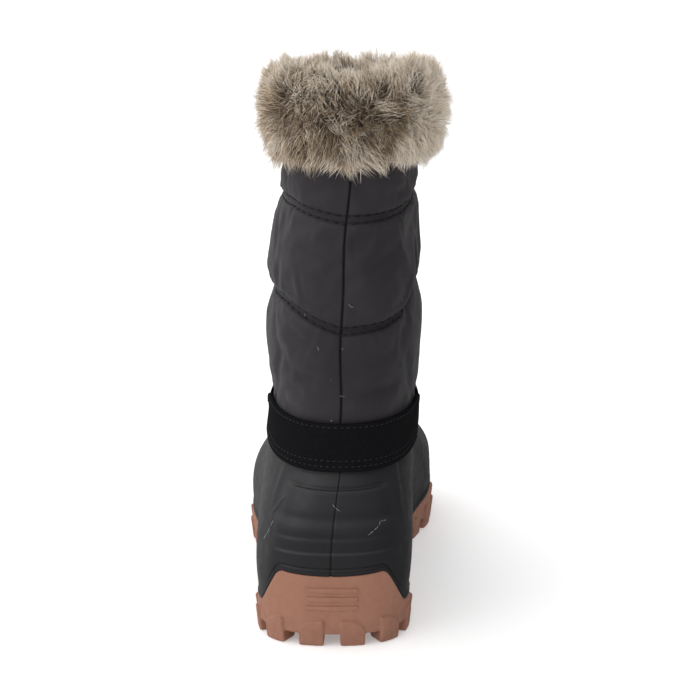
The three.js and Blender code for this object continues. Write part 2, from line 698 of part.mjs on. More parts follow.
function furGeometry() {
  const ring = (place) => turns(FUR_STEPS).map(place);
  const rows = FUR_SECTION.map((section) => ring((turn) => furPoint(turn, section)));
  const hold = BOOT_HEIGHT - FUR_HEIGHT * FUR_HOLD;
  const inside = -SHAFT_WALL - FUR_GAP;
  rows.push(
    ring((turn) => legPoint(turn, BOOT_HEIGHT - FUR_HEIGHT * FUR_GRASP, inside)),
    ring((turn) => legPoint(turn, SHAFT_HEIGHT + FUR_GAP, inside)),
    ring((turn) => legPoint(turn, SHAFT_HEIGHT + FUR_GAP, FUR_GAP)),
    ring((turn) => legPoint(turn, hold + FUR_GAP, FUR_GAP)),
  );
  let solid = toSolid(ringBody(rows, false));
  LOCK_RINGS.forEach((lockRing, k) => {
    const from = FUR_SECTION[lockRing.row];
    const to = FUR_SECTION[lockRing.row + 1];
    const section = {
      out: THREE.MathUtils.lerp(from.out, to.out, lockRing.share),
      below: THREE.MathUtils.lerp(from.below, to.below, lockRing.share),
    };
    for (let i = 0; i < lockRing.count; i += 1) {
      const stray = Math.sin(i * LOCK_STRAY.step + k * LOCK_STRAY.ring);
      const turn = (FULL_TURN * (i + k / 2 + stray * LOCK_STRAY.turn)) / lockRing.count;
      const size = 1 + stray * LOCK_STRAY.size;
      solid = solid.add(toSolid(furLock(turn, section, lockRing, size * lockRing.size)));
    }
  });
  return toGeometry(solid);
}

function insoleGeometry() {
  const inset = SOLE_PROUD + SHELL_WALL + INSOLE_GAP;
  const ring = (above) => turns(RING_STEPS).map((turn) => footbedPoint(turn, inset, GAP + above));
  return ringBody([ring(0), ring(INSOLE_THICKNESS)], true);
}

function piece(name, geometry, color, roughness) {
  const flat = geometry.toNonIndexed();
  flat.computeVertexNormals();
  const material = new THREE.MeshStandardMaterial({ color, roughness, metalness: 0 });
  const mesh = new THREE.Mesh(flat, material);
  mesh.name = name;
  return mesh;
}

const lower = new THREE.Group();
lower.add(
  piece('outsole', outsoleGeometry(), 0xa9765e, 0.7),
  piece('shell', shellGeometry(), 0x26262a, 0.5),
  piece('insole', insoleGeometry(), 0x4c4a47, 0.95),
);

const upper = new THREE.Group();
upper.add(
  piece('shaft', shaftGeometry(), 0x323234, 0.65),
  piece('ankle_band', bandGeometry(), 0x141416, 0.9),
  piece('fur_cuff', furGeometry(), 0x8f8270, 1.0),
);

const group = new THREE.Group();
group.add(lower, upper);

const box = new THREE.Box3().setFromObject(group);
group.position.set(-(box.min.x + box.max.x) / 2, -(box.min.y + box.max.y) / 2, -box.min.z);

export default group;
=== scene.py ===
"""Looks of a pull-on snow boot for the left foot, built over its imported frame.

Lengths inside the classes are millimetres in the maker's own frame: the rear of the sole at y = 0, the
ground at z = 0, the toe towards +y and the inner side of the foot towards +x. A turn is the angle round
the boot in radians: 0 at the rear, a quarter turn at the inner side and half a turn at the toe.
"""

import logging
import math
from dataclasses import dataclass, field
from enum import Enum
from typing import Callable

import bpy
import numpy as np
from mathutils import Euler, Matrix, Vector, noise


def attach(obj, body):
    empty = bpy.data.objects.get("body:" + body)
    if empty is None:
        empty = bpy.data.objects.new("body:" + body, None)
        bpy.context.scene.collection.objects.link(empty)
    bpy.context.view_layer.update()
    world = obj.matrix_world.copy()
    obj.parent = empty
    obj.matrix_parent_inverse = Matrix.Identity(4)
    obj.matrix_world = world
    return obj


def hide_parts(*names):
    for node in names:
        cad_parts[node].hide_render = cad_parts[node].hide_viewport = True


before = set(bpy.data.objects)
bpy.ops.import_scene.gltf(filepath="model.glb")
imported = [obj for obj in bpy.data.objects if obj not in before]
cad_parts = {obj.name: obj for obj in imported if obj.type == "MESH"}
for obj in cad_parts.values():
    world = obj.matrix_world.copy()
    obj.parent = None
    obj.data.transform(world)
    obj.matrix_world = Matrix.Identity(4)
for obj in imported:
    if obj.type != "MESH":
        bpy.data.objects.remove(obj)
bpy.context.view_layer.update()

MM = 0.001
TAU = 2 * math.pi
UP = np.array([0.0, 0.0, 1.0])
PATH_SAMPLES = 4001
STITCH_STEP = 0.01
WELD = 0.002
BODY = "root"

log = logging.getLogger("snow_boot")

Array = np.ndarray
Colour = tuple[float, float, float]


class Side(Enum):
    """The two sides of the boot, by the sign of x."""

    INNER = 1
    OUTER = -1


class Wrap(Enum):
    """How a ring body ends: joined to its first row, or closed by its two collapsed end rows."""

    HOLLOW = "hollow"
    FILLED = "filled"


@dataclass(frozen=True)
class Table:
    """A short table of named columns, read at a place in its first column."""

    columns: tuple[str, ...]
    rows: tuple[tuple[float, ...], ...]

    def _column(self, name: str) -> tuple[Array, Array]:
        """Places and values of one column."""
        grid = np.array(self.rows, float)
        return grid[:, 0], grid[:, self.columns.index(name) + 1]

    def read(self, name: str, place: Array) -> Array:
        """Smooth value of a column.

        Args:
            name: the column.
            place: where it is read, clamped to the table's ends.

        Returns:
            The values at those places.
        """
        at, value = self._column(name)
        ends = np.concatenate(([at[0]], at, [at[-1]]))
        levels = np.concatenate(([value[0]], value, [value[-1]]))
        slope = (levels[2:] - levels[:-2]) / (ends[2:] - ends[:-2])
        place = np.clip(place, at[0], at[-1])
        low = np.clip(np.searchsorted(at, place, side="right") - 1, 0, len(at) - 2)
        span = at[low + 1] - at[low]
        t = (place - at[low]) / span
        ease = t * t * (3 - 2 * t)
        lean = slope[low] * (1 - t) - slope[low + 1] * t
        return value[low] + (value[low + 1] - value[low]) * ease + span * t * (1 - t) * lean

    def straight(self, name: str, place: Array) -> Array:
        """Value of a column on straight lines between its rows."""
        return np.interp(place, *self._column(name))


def smoothstep(low: float, high: float, value: Array) -> Array:
    """Smooth 0 to 1 between two values."""
    t = np.clip((value - low) / (high - low), 0, 1)
    return t * t * (3 - 2 * t)


def bell(distance: Array, width: float) -> Array:
    """Soft bump that is 1 at no distance and fades over a width."""
    return np.exp(-((distance / width) ** 2))


def clouds(points: Array, scale: float, seed: float = 0.0) -> Array:
    """Smooth noise between about -1 and 1 at points in millimetres, over a distance in millimetres."""
    flat = points.reshape(-1, 3) / scale + seed
    return np.array([noise.noise(Vector(p)) for p in flat]).reshape(points.shape[:-1])


def stack(x: Array, y: Array, z: Array) -> Array:
    """Points from three arrays of one shape."""
    return np.stack(np.broadcast_arrays(x, y, z), axis=-1)


def unit(vectors: Array) -> Array:
    """Vectors at length one."""
    return vectors / np.maximum(np.linalg.norm(vectors, axis=-1, keepdims=True), 1e-12)


def distances(points: Array) -> Array:
    """Distance travelled along a row of points, from 0 at the first."""
    return np.concatenate(([0], np.cumsum(np.linalg.norm(np.diff(points, axis=0), axis=-1))))


def signed_degrees(turn: Array) -> Array:
    """Degrees from the rear, -180 to 180, above zero on the inner side."""
    return np.degrees((np.asarray(turn) + math.pi) % TAU - math.pi)


@dataclass(frozen=True)
class Last:
    """The boot's guiding shape: outline of the sole, heights round it and sections of the leg."""

    sole_length: float = 288.0
    ball_width: float = 107.0
    heel_width: float = 80.0
    lug_depth: float = 6.5
    arch_rise: float = 2.5
    toe_spring: float = 13.0
    heel_footbed: float = 22.0
    ball_footbed: float = 15.5
    heel_tab_height: float = 38.5
    sidewall_height: float = 14.0
    toe_bumper_height: float = 36.0
    sole_proud: float = 1.2
    shell_wall: float = 3.0
    shell_back_height: float = 101.0
    shell_front_height: float = 125.0
    collar_height: float = 12.0
    shell_swell: float = 4.0
    leg_sweep: float = 0.35
    boot_height: float = 290.0
    leg_width: float = 73.0
    leg_depth: float = 127.0
    leg_set_forward: float = 10.0
    leg_squareness: float = 2.25
    shaft_wall: float = 3.2
    shaft_height: float = 277.0
    upper_quilt_height: float = 219.0
    lower_quilt_height: float = 163.0
    upper_quilt_rise: float = 9.0
    lower_quilt_rise: float = 20.0
    band_wall: float = 2.2
    band_below_rim: float = 11.0
    band_above_rim: float = 14.0
    fur_height: float = 47.0
    gap: float = 0.3
    insole_gap: float = 2.6
    insole_thickness: float = 4.0
    heel_flat_end: float = 0.29
    ball_flat_start: float = 0.47
    ball_flat_end: float = 0.74
    slope_step: float = 0.02
    heel_round: float = 0.14
    toe_round: float = 0.2
    heel_squareness: float = 2.6
    corner_reach: float = 1.6

    OUTLINE = Table(
        ("centre", "heel", "ball"),
        (
            (0.0, 0.0, 1.0, 0.0), (0.18, 0.0, 1.0, 0.0), (0.3, -0.011, 0.8, 0.125),
            (0.42, -0.03, 0.55, 0.3), (0.52, -0.035, 0.33, 0.545), (0.62, -0.019, 0.13, 0.82),
            (0.7, 0.015, 0.0, 0.985), (0.78, 0.04, 0.0, 0.96), (0.86, 0.065, 0.0, 0.92),
            (0.93, 0.085, 0.0, 0.9), (1.0, 0.1, 0.0, 0.84),
        ),
    )
    FOOTBED = Table(("blend",), ((0.0, 0.0), (0.28, 0.05), (0.5, 0.75), (0.68, 1.0), (1.0, 1.0)))
    TOP_LINE = Table(
        ("tab", "side", "bumper"),
        (
            (0, 0.975, 0.0, 0.0), (12, 1.0, 0.0, 0.0), (18, 1.02, 0.0, 0.0), (24, 0.7, 0.1, 0.0),
            (30, 0.2, 0.78, 0.0), (48, 0.0, 1.1, 0.0), (66, 0.0, 1.0, 0.0), (84, 0.0, 1.0, 0.0),
            (102, 0.0, 0.9, 0.1), (120, 0.0, 0.55, 0.4), (144, 0.0, 0.2, 0.67), (162, 0.0, 0.0, 0.93),
            (180, 0.0, 0.0, 1.0),
        ),
    )
    LEG = Table(
        ("back", "depth", "width", "lean"),
        (
            (0.28, 0.008, 1.1, 1.06, 0.05), (0.35, 0.016, 1.05, 1.04, 0.06),
            (0.4, 0.02, 1.02, 1.03, 0.07), (0.45, 0.016, 1.0, 1.015, 0.073), (0.55, 0.0, 1.0, 1.0, 0.073),
            (0.69, 0.0, 1.0, 0.985, 0.076), (0.81, 0.008, 0.985, 0.97, 0.11),
            (0.9, 0.008, 0.985, 0.98, 0.132), (0.98, 0.0, 1.0, 1.0, 0.137),
        ),
    )
    QUILT_LINE = Table(
        ("inner", "outer"),
        (
            (0, 0.0, 0.0), (30, 0.1, 0.42), (48, 0.28, 0.64), (72, 0.85, 0.66), (90, 1.0, 0.64),
            (108, 1.0, 0.64), (144, 0.5, 0.4), (180, 0.0, 0.0),
        ),
    )
    FULLNESS = Table(
        ("rise", "reach", "drop", "swell"),
        (
            (0.0, 0.3, 0.95, 0.5, 0.5), (0.2, 0.32, 0.9, 0.5, 1.0), (0.5, 0.35, 0.65, 0.58, 1.0),
            (0.75, 0.4, 0.52, 0.62, 0.9), (1.0, 0.42, 0.5, 0.62, 0.4),
        ),
    )

    @staticmethod
    def degrees(turn: Array) -> Array:
        """Degrees from the rear, 0 to 180 on either side."""
        return np.degrees(np.arccos(np.clip(np.cos(turn), -1, 1)))

    @staticmethod
    def length_share(turn: Array) -> Array:
        """Share of the boot's length at a turn."""
        return (1 - np.cos(turn)) / 2

    @staticmethod
    def side(turn: Array) -> Array:
        """Sign of x at a turn."""
        return np.where(np.sin(turn) < -1e-9, -1.0, 1.0)

    def outline(self, turn: Array, inset: float = 0.0) -> tuple[Array, Array]:
        """Point of the sole's outline, moved inwards by an inset."""
        share = self.length_share(turn)
        from_heel = np.minimum(share / self.heel_round, 1)
        from_toe = np.minimum((1 - share) / self.toe_round, 1)
        heel = (1 - (1 - from_heel) ** self.heel_squareness) ** (1 / self.heel_squareness)
        toe = np.sqrt(np.maximum(1 - (1 - from_toe) ** 2, 0))
        half = self.OUTLINE.read("heel", share) * self.heel_width
        half = (half + self.OUTLINE.read("ball", share) * self.ball_width) / 2
        x = self.OUTLINE.read("centre", share) * self.ball_width + self.side(turn) * half * heel * toe
        y = share * self.sole_length
        if np.any(inset):
            normal = self.outline_normal(turn)
            x, y = x - inset * normal[..., 0], y - inset * normal[..., 1]
        return x, y

    def edge(self, turn: Array) -> Array:
        """Points of the sole's outline."""
        return np.stack(self.outline(turn), -1)

    def spine(self, y: Array) -> Array:
        """Middle of the sole's width, at a distance from the rear."""
        return self.OUTLINE.read("centre", y / self.sole_length) * self.ball_width

    def outline_normal(self, turn: Array) -> Array:
        """Outward direction of the sole's outline."""
        x1, y1 = self.outline(turn + self.slope_step)
        x0, y0 = self.outline(turn - self.slope_step)
        return unit(np.stack([y1 - y0, x0 - x1], axis=-1))

    def tread_line(self, y: Array) -> Array:
        """Height of the tread's contact line above the ground."""
        share = y / self.sole_length
        toe = np.maximum((share - self.ball_flat_end) / (1 - self.ball_flat_end), 0)
        along = (share - self.heel_flat_end) / (self.ball_flat_start - self.heel_flat_end)
        arch = self.arch_rise * np.sin(math.pi * np.clip(along, 0, 1)) ** 2
        return self.toe_spring * toe**2 + arch

    def footbed_height(self, y: Array) -> Array:
        """Height of the footbed."""
        blend = self.FOOTBED.read("blend", y / self.sole_length)
        return self.tread_line(y) + self.heel_footbed + (self.ball_footbed - self.heel_footbed) * blend

    def sole_top(self, turn: Array) -> Array:
        """Height of the outsole's upper edge, its corners a little rounded."""
        heights = (self.heel_tab_height, self.sidewall_height, self.toe_bumper_height)
        total = 0.0
        for step in (-self.corner_reach, 0.0, self.corner_reach):
            degrees = np.abs(self.degrees(turn) + step)
            for name, height in zip(self.TOP_LINE.columns, heights):
                total = total + self.TOP_LINE.straight(name, degrees) * height / 3
        return total

    def leg_turn(self, turn: Array) -> Array:
        """Turn on the leg's section that belongs to a turn on the sole's outline."""
        return turn + self.leg_sweep * np.sin(turn)

    def leg(self, turn: Array, z: Array, outside: Array = 0.0) -> Array:
        """Point of the leg's section at a height, a given distance outside it."""
        share = np.asarray(z) / self.boot_height
        half_depth = self.LEG.read("depth", share) * self.leg_depth / 2
        half_width = self.LEG.read("width", share) * self.leg_width / 2
        centre = self.LEG.read("lean", share) * self.leg_width
        middle = self.leg_set_forward + self.LEG.read("back", share) * self.leg_depth + half_depth
        sine, cosine = np.sin(self.leg_turn(turn)), np.cos(self.leg_turn(turn))
        power = 2 / self.leg_squareness
        across = np.sign(sine) * np.abs(sine) ** power
        along = np.sign(cosine) * np.abs(cosine) ** power
        return stack(centre + (half_width + outside) * across, middle - (half_depth + outside) * along, z)

    def rim(self, turn: Array) -> Array:
        """Height of the shell's upper edge."""
        rise = self.length_share(self.leg_turn(turn)) ** 2
        return self.shell_back_height + (self.shell_front_height - self.shell_back_height) * rise

    def rim_path(self, turn: Array) -> Array:
        """Path round the leg along the shell's upper edge."""
        return self.leg(turn, self.rim(turn))

    def seam(self, turn: Array, height: float, rise: float) -> Array:
        """Height of a quilting line."""
        degrees = self.degrees(self.leg_turn(turn))
        inner = self.QUILT_LINE.straight("inner", degrees)
        outer = self.QUILT_LINE.straight("outer", degrees)
        return height + rise * np.where(self.side(turn) > 0, inner, outer)

    def upper_seam(self, turn: Array) -> Array:
        """Height of the upper quilting line."""
        return self.seam(turn, self.upper_quilt_height, self.upper_quilt_rise)

    def lower_seam(self, turn: Array) -> Array:
        """Height of the lower quilting line."""
        return self.seam(turn, self.lower_quilt_height, self.lower_quilt_rise)

    def shell(self, turn: Array, share: Array) -> Array:
        """Smooth surface of the shell, from its lower edge (0) to the start of its collar (1)."""
        place = self.length_share(turn)
        low = stack(*self.outline(turn, self.sole_proud), self.sole_top(turn) + self.gap)
        high = self.leg(turn, self.rim(turn) - self.collar_height)
        rise = (high - low)[..., 2]
        amount = self.shell_swell * self.FULLNESS.read("swell", place)
        swell = self.outline_normal(turn) * amount[..., None]
        swell = stack(swell[..., 0], swell[..., 1], 0.0)
        low_handle = low + swell
        low_handle[..., 2] = low[..., 2] + rise * self.FULLNESS.read("rise", place)
        high_handle = high + (low - high) * self.FULLNESS.read("reach", place)[..., None] + swell
        high_handle[..., 2] = high[..., 2] - rise * self.FULLNESS.read("drop", place)
        s = np.asarray(share)[..., None]
        return (
            (1 - s) ** 3 * low
            + 3 * (1 - s) ** 2 * s * low_handle
            + 3 * (1 - s) * s**2 * high_handle
            + s**3 * high
        )


LAST = Last()


def frame_shift() -> Array:
    """Shift from the maker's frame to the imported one, read from the rear point of the insole."""
    inset = LAST.sole_proud + LAST.shell_wall + LAST.insole_gap
    points = np.array([v.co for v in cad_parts["insole"].data.vertices])
    rear = points[np.argmin(points[:, 1])] / MM
    return np.array([rear[0], rear[1] - inset, 0.0])


SHIFT = frame_shift()


def to_frame(points: Array) -> Array:
    """Maker's millimetres to the frame's metres."""
    return (points + SHIFT) * MM


# Ways of making a piece


def deselect() -> None:
    """Leaves nothing selected."""
    if bpy.context.object and bpy.context.object.mode != "OBJECT":
        bpy.ops.object.mode_set(mode="OBJECT")
    bpy.ops.object.select_all(action="DESELECT")


def focus(piece: bpy.types.Object) -> None:
    """Selects one object and makes it active."""
    deselect()
    piece.select_set(True)
    bpy.context.view_layer.objects.active = piece


def apply_modifier(piece: bpy.types.Object, kind: str, **settings: object) -> None:
    """Adds a modifier with its settings and applies it."""
    focus(piece)
    modifier = piece.modifiers.new(kind.lower(), kind)
    for name, value in settings.items():
        setattr(modifier, name, value)
    bpy.ops.object.modifier_apply(modifier=modifier.name)


def fetch(items: object, key: str, kind: type = np.float32) -> Array:
    """One property of every item of a collection: points for floats, plain numbers for integers."""
    width = 3 if kind is np.float32 else 1
    flat = np.empty(len(items) * width, kind)
    items.foreach_get(key, flat)
    return flat.reshape(-1, width) if width > 1 else flat


def read_points(piece: bpy.types.Object) -> Array:
    """The mesh's points as an array."""
    return fetch(piece.data.vertices, "co").astype(float)


def write_points(piece: bpy.types.Object, points: Array) -> None:
    """Moves the mesh's points."""
    piece.data.vertices.foreach_set("co", np.ascontiguousarray(points, np.float32).ravel())
    piece.data.update()


def even_turns(path: Callable[[Array], Array], count: int, crowding: float) -> Array:
    """Turns at even distances along a closed path, crowded together at the rear seam.

    Args:
        path: points of the path by turn.
        count: how many turns are wanted.
        crowding: 0 for even distances, near 1 for very fine ones at the rear.

    Returns:
        The turns, the first at the rear.
    """
    samples = np.linspace(0, TAU, PATH_SAMPLES)
    travelled = distances(path(samples))
    t = np.arange(count) / count
    wanted = (t - crowding * np.sin(TAU * t) / TAU) * travelled[-1]
    return np.interp(wanted, travelled, samples)


def around(path: Callable[[Array], Array], turn: Array) -> Array:
    """Distance along a closed path from the rear, below zero on the outer side."""
    samples = np.linspace(-math.pi, math.pi, PATH_SAMPLES)
    travelled = distances(path(samples))
    travelled -= travelled[PATH_SAMPLES // 2]
    wrapped = (np.asarray(turn) + math.pi) % TAU - math.pi
    return np.interp(wrapped, samples, travelled)


def girth(path: Callable[[Array], Array]) -> float:
    """Length of a closed path."""
    return float(around(path, np.array(math.pi - 1e-6)) * 2)


@dataclass
class Ring:
    """A wall that runs round the boot, shaped from a grid, with the turn and row of each of its points."""

    piece: bpy.types.Object
    turn_of: Array
    row_of: Array
    face_row: Array

    def displace(self, amount: Array) -> None:
        """Moves points along their normals, by millimetres given by turn and row."""
        step = amount[self.turn_of, self.row_of][:, None] * MM
        normals = fetch(self.piece.data.vertex_normals, "vector")
        write_points(self.piece, read_points(self.piece) + normals * step)

    def shade(self, amount: Array) -> None:
        """Keeps painted shade for the finish, from 0 to 1 by turn and row."""
        attribute = self.piece.data.attributes.new("shade", "FLOAT", "POINT")
        attribute.data.foreach_set("value", amount[self.turn_of, self.row_of].astype(np.float32))

    def mark(self, first: int, last: int, index: int) -> None:
        """Gives the faces between two rows another of the piece's materials."""
        chosen = (self.face_row >= first) & (self.face_row < last)
        self.piece.data.polygons.foreach_set("material_index", np.where(chosen, index, 0).astype(np.int32))


def ring_body(name: str, grid: Array, wrap: Wrap = Wrap.HOLLOW) -> Ring:
    """Shapes a grid primitive into a wall that runs round the boot, with a map in metres.

    Args:
        name: the piece's name.
        grid: points by turn and by row, the rows going up the outside and down the inside.
        wrap: whether the last row joins the first, or both are closed up on themselves.

    Returns:
        The wall, with its place in its mesh.
    """
    steps, rows = grid.shape[:2]
    bands = rows if wrap is Wrap.HOLLOW else rows - 1
    deselect()
    bpy.ops.mesh.primitive_grid_add(x_subdivisions=steps, y_subdivisions=bands, size=2.0)
    piece = bpy.context.object
    piece.name = piece.data.name = name
    flat = (read_points(piece) + 1) / 2
    i, j = np.rint(flat[:, 0] * steps).astype(int), np.rint(flat[:, 1] * bands).astype(int)
    face_row = ((fetch(piece.data.polygons, "center")[:, 1] + 1) / 2 * bands).astype(np.int32)
    write_points(piece, to_frame(grid[i % steps, j % rows]))
    u = distances(np.concatenate([grid, grid[:1]])[:, rows // 3])
    v = distances(np.concatenate([grid[0], grid[0, :1]]))
    corners = fetch(piece.data.loops, "vertex_index", np.int32)
    wrap_map = np.stack([u[i][corners], v[j][corners]], axis=-1) * MM
    piece.data.uv_layers[0].data.foreach_set("uv", wrap_map.astype(np.float32).ravel())
    marks = {
        "turn_mark": ("POINT", i % steps),
        "row_mark": ("POINT", j % rows),
        "band_mark": ("FACE", face_row),
    }
    for label, (domain, values) in marks.items():
        attribute = piece.data.attributes.new(label, "INT", domain)
        attribute.data.foreach_set("value", values.astype(np.int32))
    bpy.ops.object.mode_set(mode="EDIT")
    bpy.ops.mesh.select_all(action="SELECT")
    bpy.ops.mesh.remove_doubles(threshold=WELD * MM)
    bpy.ops.object.mode_set(mode="OBJECT")
    read = []
    for label in marks:
        attribute = piece.data.attributes[label]
        read.append(fetch(attribute.data, "value", np.int32))
        piece.data.attributes.remove(attribute)
    bpy.ops.object.shade_smooth()
    return Ring(piece, *read)


def add_piece(name: str, mesh: bpy.types.Mesh) -> bpy.types.Object:
    """Puts a mesh in the scene as a smooth piece, selected and active."""
    piece = bpy.data.objects.new(name, mesh)
    bpy.context.scene.collection.objects.link(piece)
    focus(piece)
    bpy.ops.object.shade_smooth()
    return piece


def copies(name: str, template: bpy.types.Object, places: Array, axes: Array) -> bpy.types.Object:
    """Joins many copies of a small mesh into one piece, and removes the small mesh.

    Args:
        name: the piece's name.
        template: the small mesh, modelled round the origin in metres.
        places: a point in metres for each copy.
        axes: three axis vectors for each copy, whose lengths scale it.

    Returns:
        The joined piece.
    """
    points = read_points(template)
    faces = [list(p.vertices) for p in template.data.polygons]
    placed = np.einsum("pk,nkj->npj", points, axes) + places[:, None, :]
    count = len(points)
    mesh = bpy.data.meshes.new(name)
    corners = [[v + i * count for v in face] for i in range(len(places)) for face in faces]
    mesh.from_pydata(placed.reshape(-1, 3).tolist(), [], corners)
    mesh.update()
    bpy.data.objects.remove(template)
    return add_piece(name, mesh)


def thread_template(length: float, thickness: float) -> bpy.types.Object:
    """A short round thread along x, in millimetres, tapered at its two ends."""
    deselect()
    bpy.ops.mesh.primitive_uv_sphere_add(segments=6, ring_count=5, radius=0.5)
    bead = bpy.context.object
    bpy.ops.object.mode_set(mode="EDIT")
    bpy.ops.mesh.select_all(action="SELECT")
    bpy.ops.transform.resize(value=(length * MM, thickness * MM, thickness * MM))
    bpy.ops.object.mode_set(mode="OBJECT")
    return bead


def sew(name: str, rows: list[tuple[Callable[[Array], Array], Array]], size: tuple[float, float],
        proud: float) -> bpy.types.Object:
    """Lays short threads along rows on the cloth.

    Args:
        name: the piece's name.
        rows: for each row its path by turn, and the turns of its stitches.
        size: length and thickness of a stitch.
        proud: how far the stitches stand out.

    Returns:
        All the stitches as one piece.
    """
    places, axes = [], []
    for path, turn in rows:
        here = path(turn)
        ahead = unit(path(turn + STITCH_STEP) - here)
        out = unit(np.cross(ahead, UP))
        places.append(to_frame(here + out * proud))
        axes.append(np.stack([ahead, out, np.cross(out, ahead)], axis=1))
    return copies(name, thread_template(*size), np.concatenate(places), np.concatenate(axes))


def settle(piece: bpy.types.Object, slot: str, *nodes: str) -> bpy.types.Object:
    """Rides a finished piece on the boot, and hides the imported nodes that it stands for."""
    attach(piece, BODY)
    if nodes:
        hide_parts(*nodes)
    log.info("%s: %d faces", piece.name, len(piece.data.polygons))
    return piece


# Finishes


class Sheet:
    """A node tree under construction, for a material or a shader group."""

    def __init__(self, tree: bpy.types.NodeTree) -> None:
        """Keeps the tree."""
        self.tree = tree

    def add(self, kind: str, **settings: object) -> bpy.types.Node:
        """Adds a node with its settings."""
        node = self.tree.nodes.new(kind)
        for name, value in settings.items():
            setattr(node, name, value)
        return node

    def link(self, source: bpy.types.NodeSocket, target: bpy.types.NodeSocket) -> None:
        """Joins two sockets."""
        self.tree.links.new(source, target)

    def feed(self, value: object, target: bpy.types.NodeSocket) -> None:
        """Links a socket, or sets a plain value."""
        if isinstance(value, bpy.types.NodeSocket):
            self.link(value, target)
        else:
            target.default_value = value

    def math(self, operation: str, first: object, second: object = 0.0) -> bpy.types.NodeSocket:
        """Result of a Math node."""
        node = self.add("ShaderNodeMath", operation=operation)
        self.feed(first, node.inputs[0])
        self.feed(second, node.inputs[1])
        return node.outputs[0]

    def blend(self, share: object, first: object, second: object, how: str = "MIX") -> bpy.types.NodeSocket:
        """Colour between two colours."""
        node = self.add("ShaderNodeMix", data_type="RGBA", blend_type=how)
        for value, target in zip((share, first, second), (node.inputs[0], node.inputs[6], node.inputs[7])):
            self.feed((*value, 1.0) if isinstance(value, tuple) else value, target)
        return node.outputs[2]

    def spread(self, value: object, low: float, high: float, to_low: float = 0.0,
               to_high: float = 1.0) -> object:
        """A value moved from one range to another and clamped."""
        node = self.add("ShaderNodeMapRange")
        for k, number in enumerate((value, low, high, to_low, to_high)):
            self.feed(number, node.inputs[k])
        return node.outputs[0]

    def noise(self, vector: object, scale: float, detail: float = 3.0) -> bpy.types.NodeSocket:
        """Cloudy noise over a vector."""
        node = self.add("ShaderNodeTexNoise")
        self.feed(vector, node.inputs["Vector"])
        node.inputs["Scale"].default_value = scale
        node.inputs["Detail"].default_value = detail
        return node.outputs["Fac"]


def shader_group(name: str, inputs: dict[str, str],
                 outputs: dict[str, str]) -> tuple[bpy.types.NodeTree, Sheet]:
    """Starts a shader group with named sockets.

    Args:
        name: the group's name.
        inputs: socket types by name.
        outputs: socket types by name.

    Returns:
        The group and the sheet to fill it on.
    """
    tree = bpy.data.node_groups.new(name, "ShaderNodeTree")
    for label, kind in inputs.items():
        tree.interface.new_socket(name=label, in_out="INPUT", socket_type=kind)
    for label, kind in outputs.items():
        tree.interface.new_socket(name=label, in_out="OUTPUT", socket_type=kind)
    return tree, Sheet(tree)


def weave_group() -> bpy.types.NodeTree:
    """Plain weave: height of crossing threads over a map in metres."""
    tree, sheet = shader_group(
        "Plain weave", {"Map": "NodeSocketVector", "Threads": "NodeSocketFloat"},
        {"Height": "NodeSocketFloat"},
    )
    start, end = sheet.add("NodeGroupInput"), sheet.add("NodeGroupOutput")
    split = sheet.add("ShaderNodeSeparateXYZ")
    sheet.link(start.outputs["Map"], split.inputs[0])
    waves = []
    for axis in (0, 1):
        turns = sheet.math("MULTIPLY", split.outputs[axis], start.outputs["Threads"])
        waves.append(sheet.math("SINE", turns))
    sheet.link(sheet.math("MULTIPLY", waves[0], waves[1]), end.inputs["Height"])
    return tree


def mottle_group() -> bpy.types.NodeTree:
    """Cloudy variation: a coarse and a fine mask over a surface."""
    tree, sheet = shader_group(
        "Mottle",
        {"Place": "NodeSocketVector", "Scale": "NodeSocketFloat"},
        {"Coarse": "NodeSocketFloat", "Fine": "NodeSocketFloat"},
    )
    start, end = sheet.add("NodeGroupInput"), sheet.add("NodeGroupOutput")
    for label, factor, detail in (("Coarse", 1.0, 2.0), ("Fine", 9.0, 4.0)):
        node = sheet.add("ShaderNodeTexNoise")
        sheet.link(start.outputs["Place"], node.inputs["Vector"])
        sheet.link(sheet.math("MULTIPLY", start.outputs["Scale"], factor), node.inputs["Scale"])
        node.inputs["Detail"].default_value = detail
        sheet.link(sheet.spread(node.outputs["Fac"], 0.35, 0.65), end.inputs[label])
    return tree


def lint_group() -> bpy.types.NodeTree:
    """Small pale specks of lint and dust, as a mask."""
    tree, sheet = shader_group(
        "Lint", {"Place": "NodeSocketVector", "Scale": "NodeSocketFloat"}, {"Mask": "NodeSocketFloat"}
    )
    start, end = sheet.add("NodeGroupInput"), sheet.add("NodeGroupOutput")
    cells = sheet.add("ShaderNodeTexVoronoi")
    sheet.link(start.outputs["Place"], cells.inputs["Vector"])
    sheet.link(start.outputs["Scale"], cells.inputs["Scale"])
    chance = sheet.add("ShaderNodeSeparateColor")
    sheet.link(cells.outputs["Color"], chance.inputs[0])
    speck = sheet.spread(cells.outputs["Distance"], 0.1, 0.05)
    rare = sheet.math("GREATER_THAN", chance.outputs[0], 0.965)
    sheet.link(sheet.math("MULTIPLY", speck, rare), end.inputs["Mask"])
    return tree


class Effects:
    """The shader groups that several finishes use, each built once."""

    def __init__(self) -> None:
        """Builds the groups."""
        self.weave = weave_group()
        self.mottle = mottle_group()
        self.lint = lint_group()

    def use(self, sheet: Sheet, group: bpy.types.NodeTree, **values: object) -> bpy.types.Node:
        """Places a group in a material with its own values."""
        node = sheet.add("ShaderNodeGroup", node_tree=group)
        for label, value in values.items():
            sheet.feed(value, node.inputs[label])
        return node


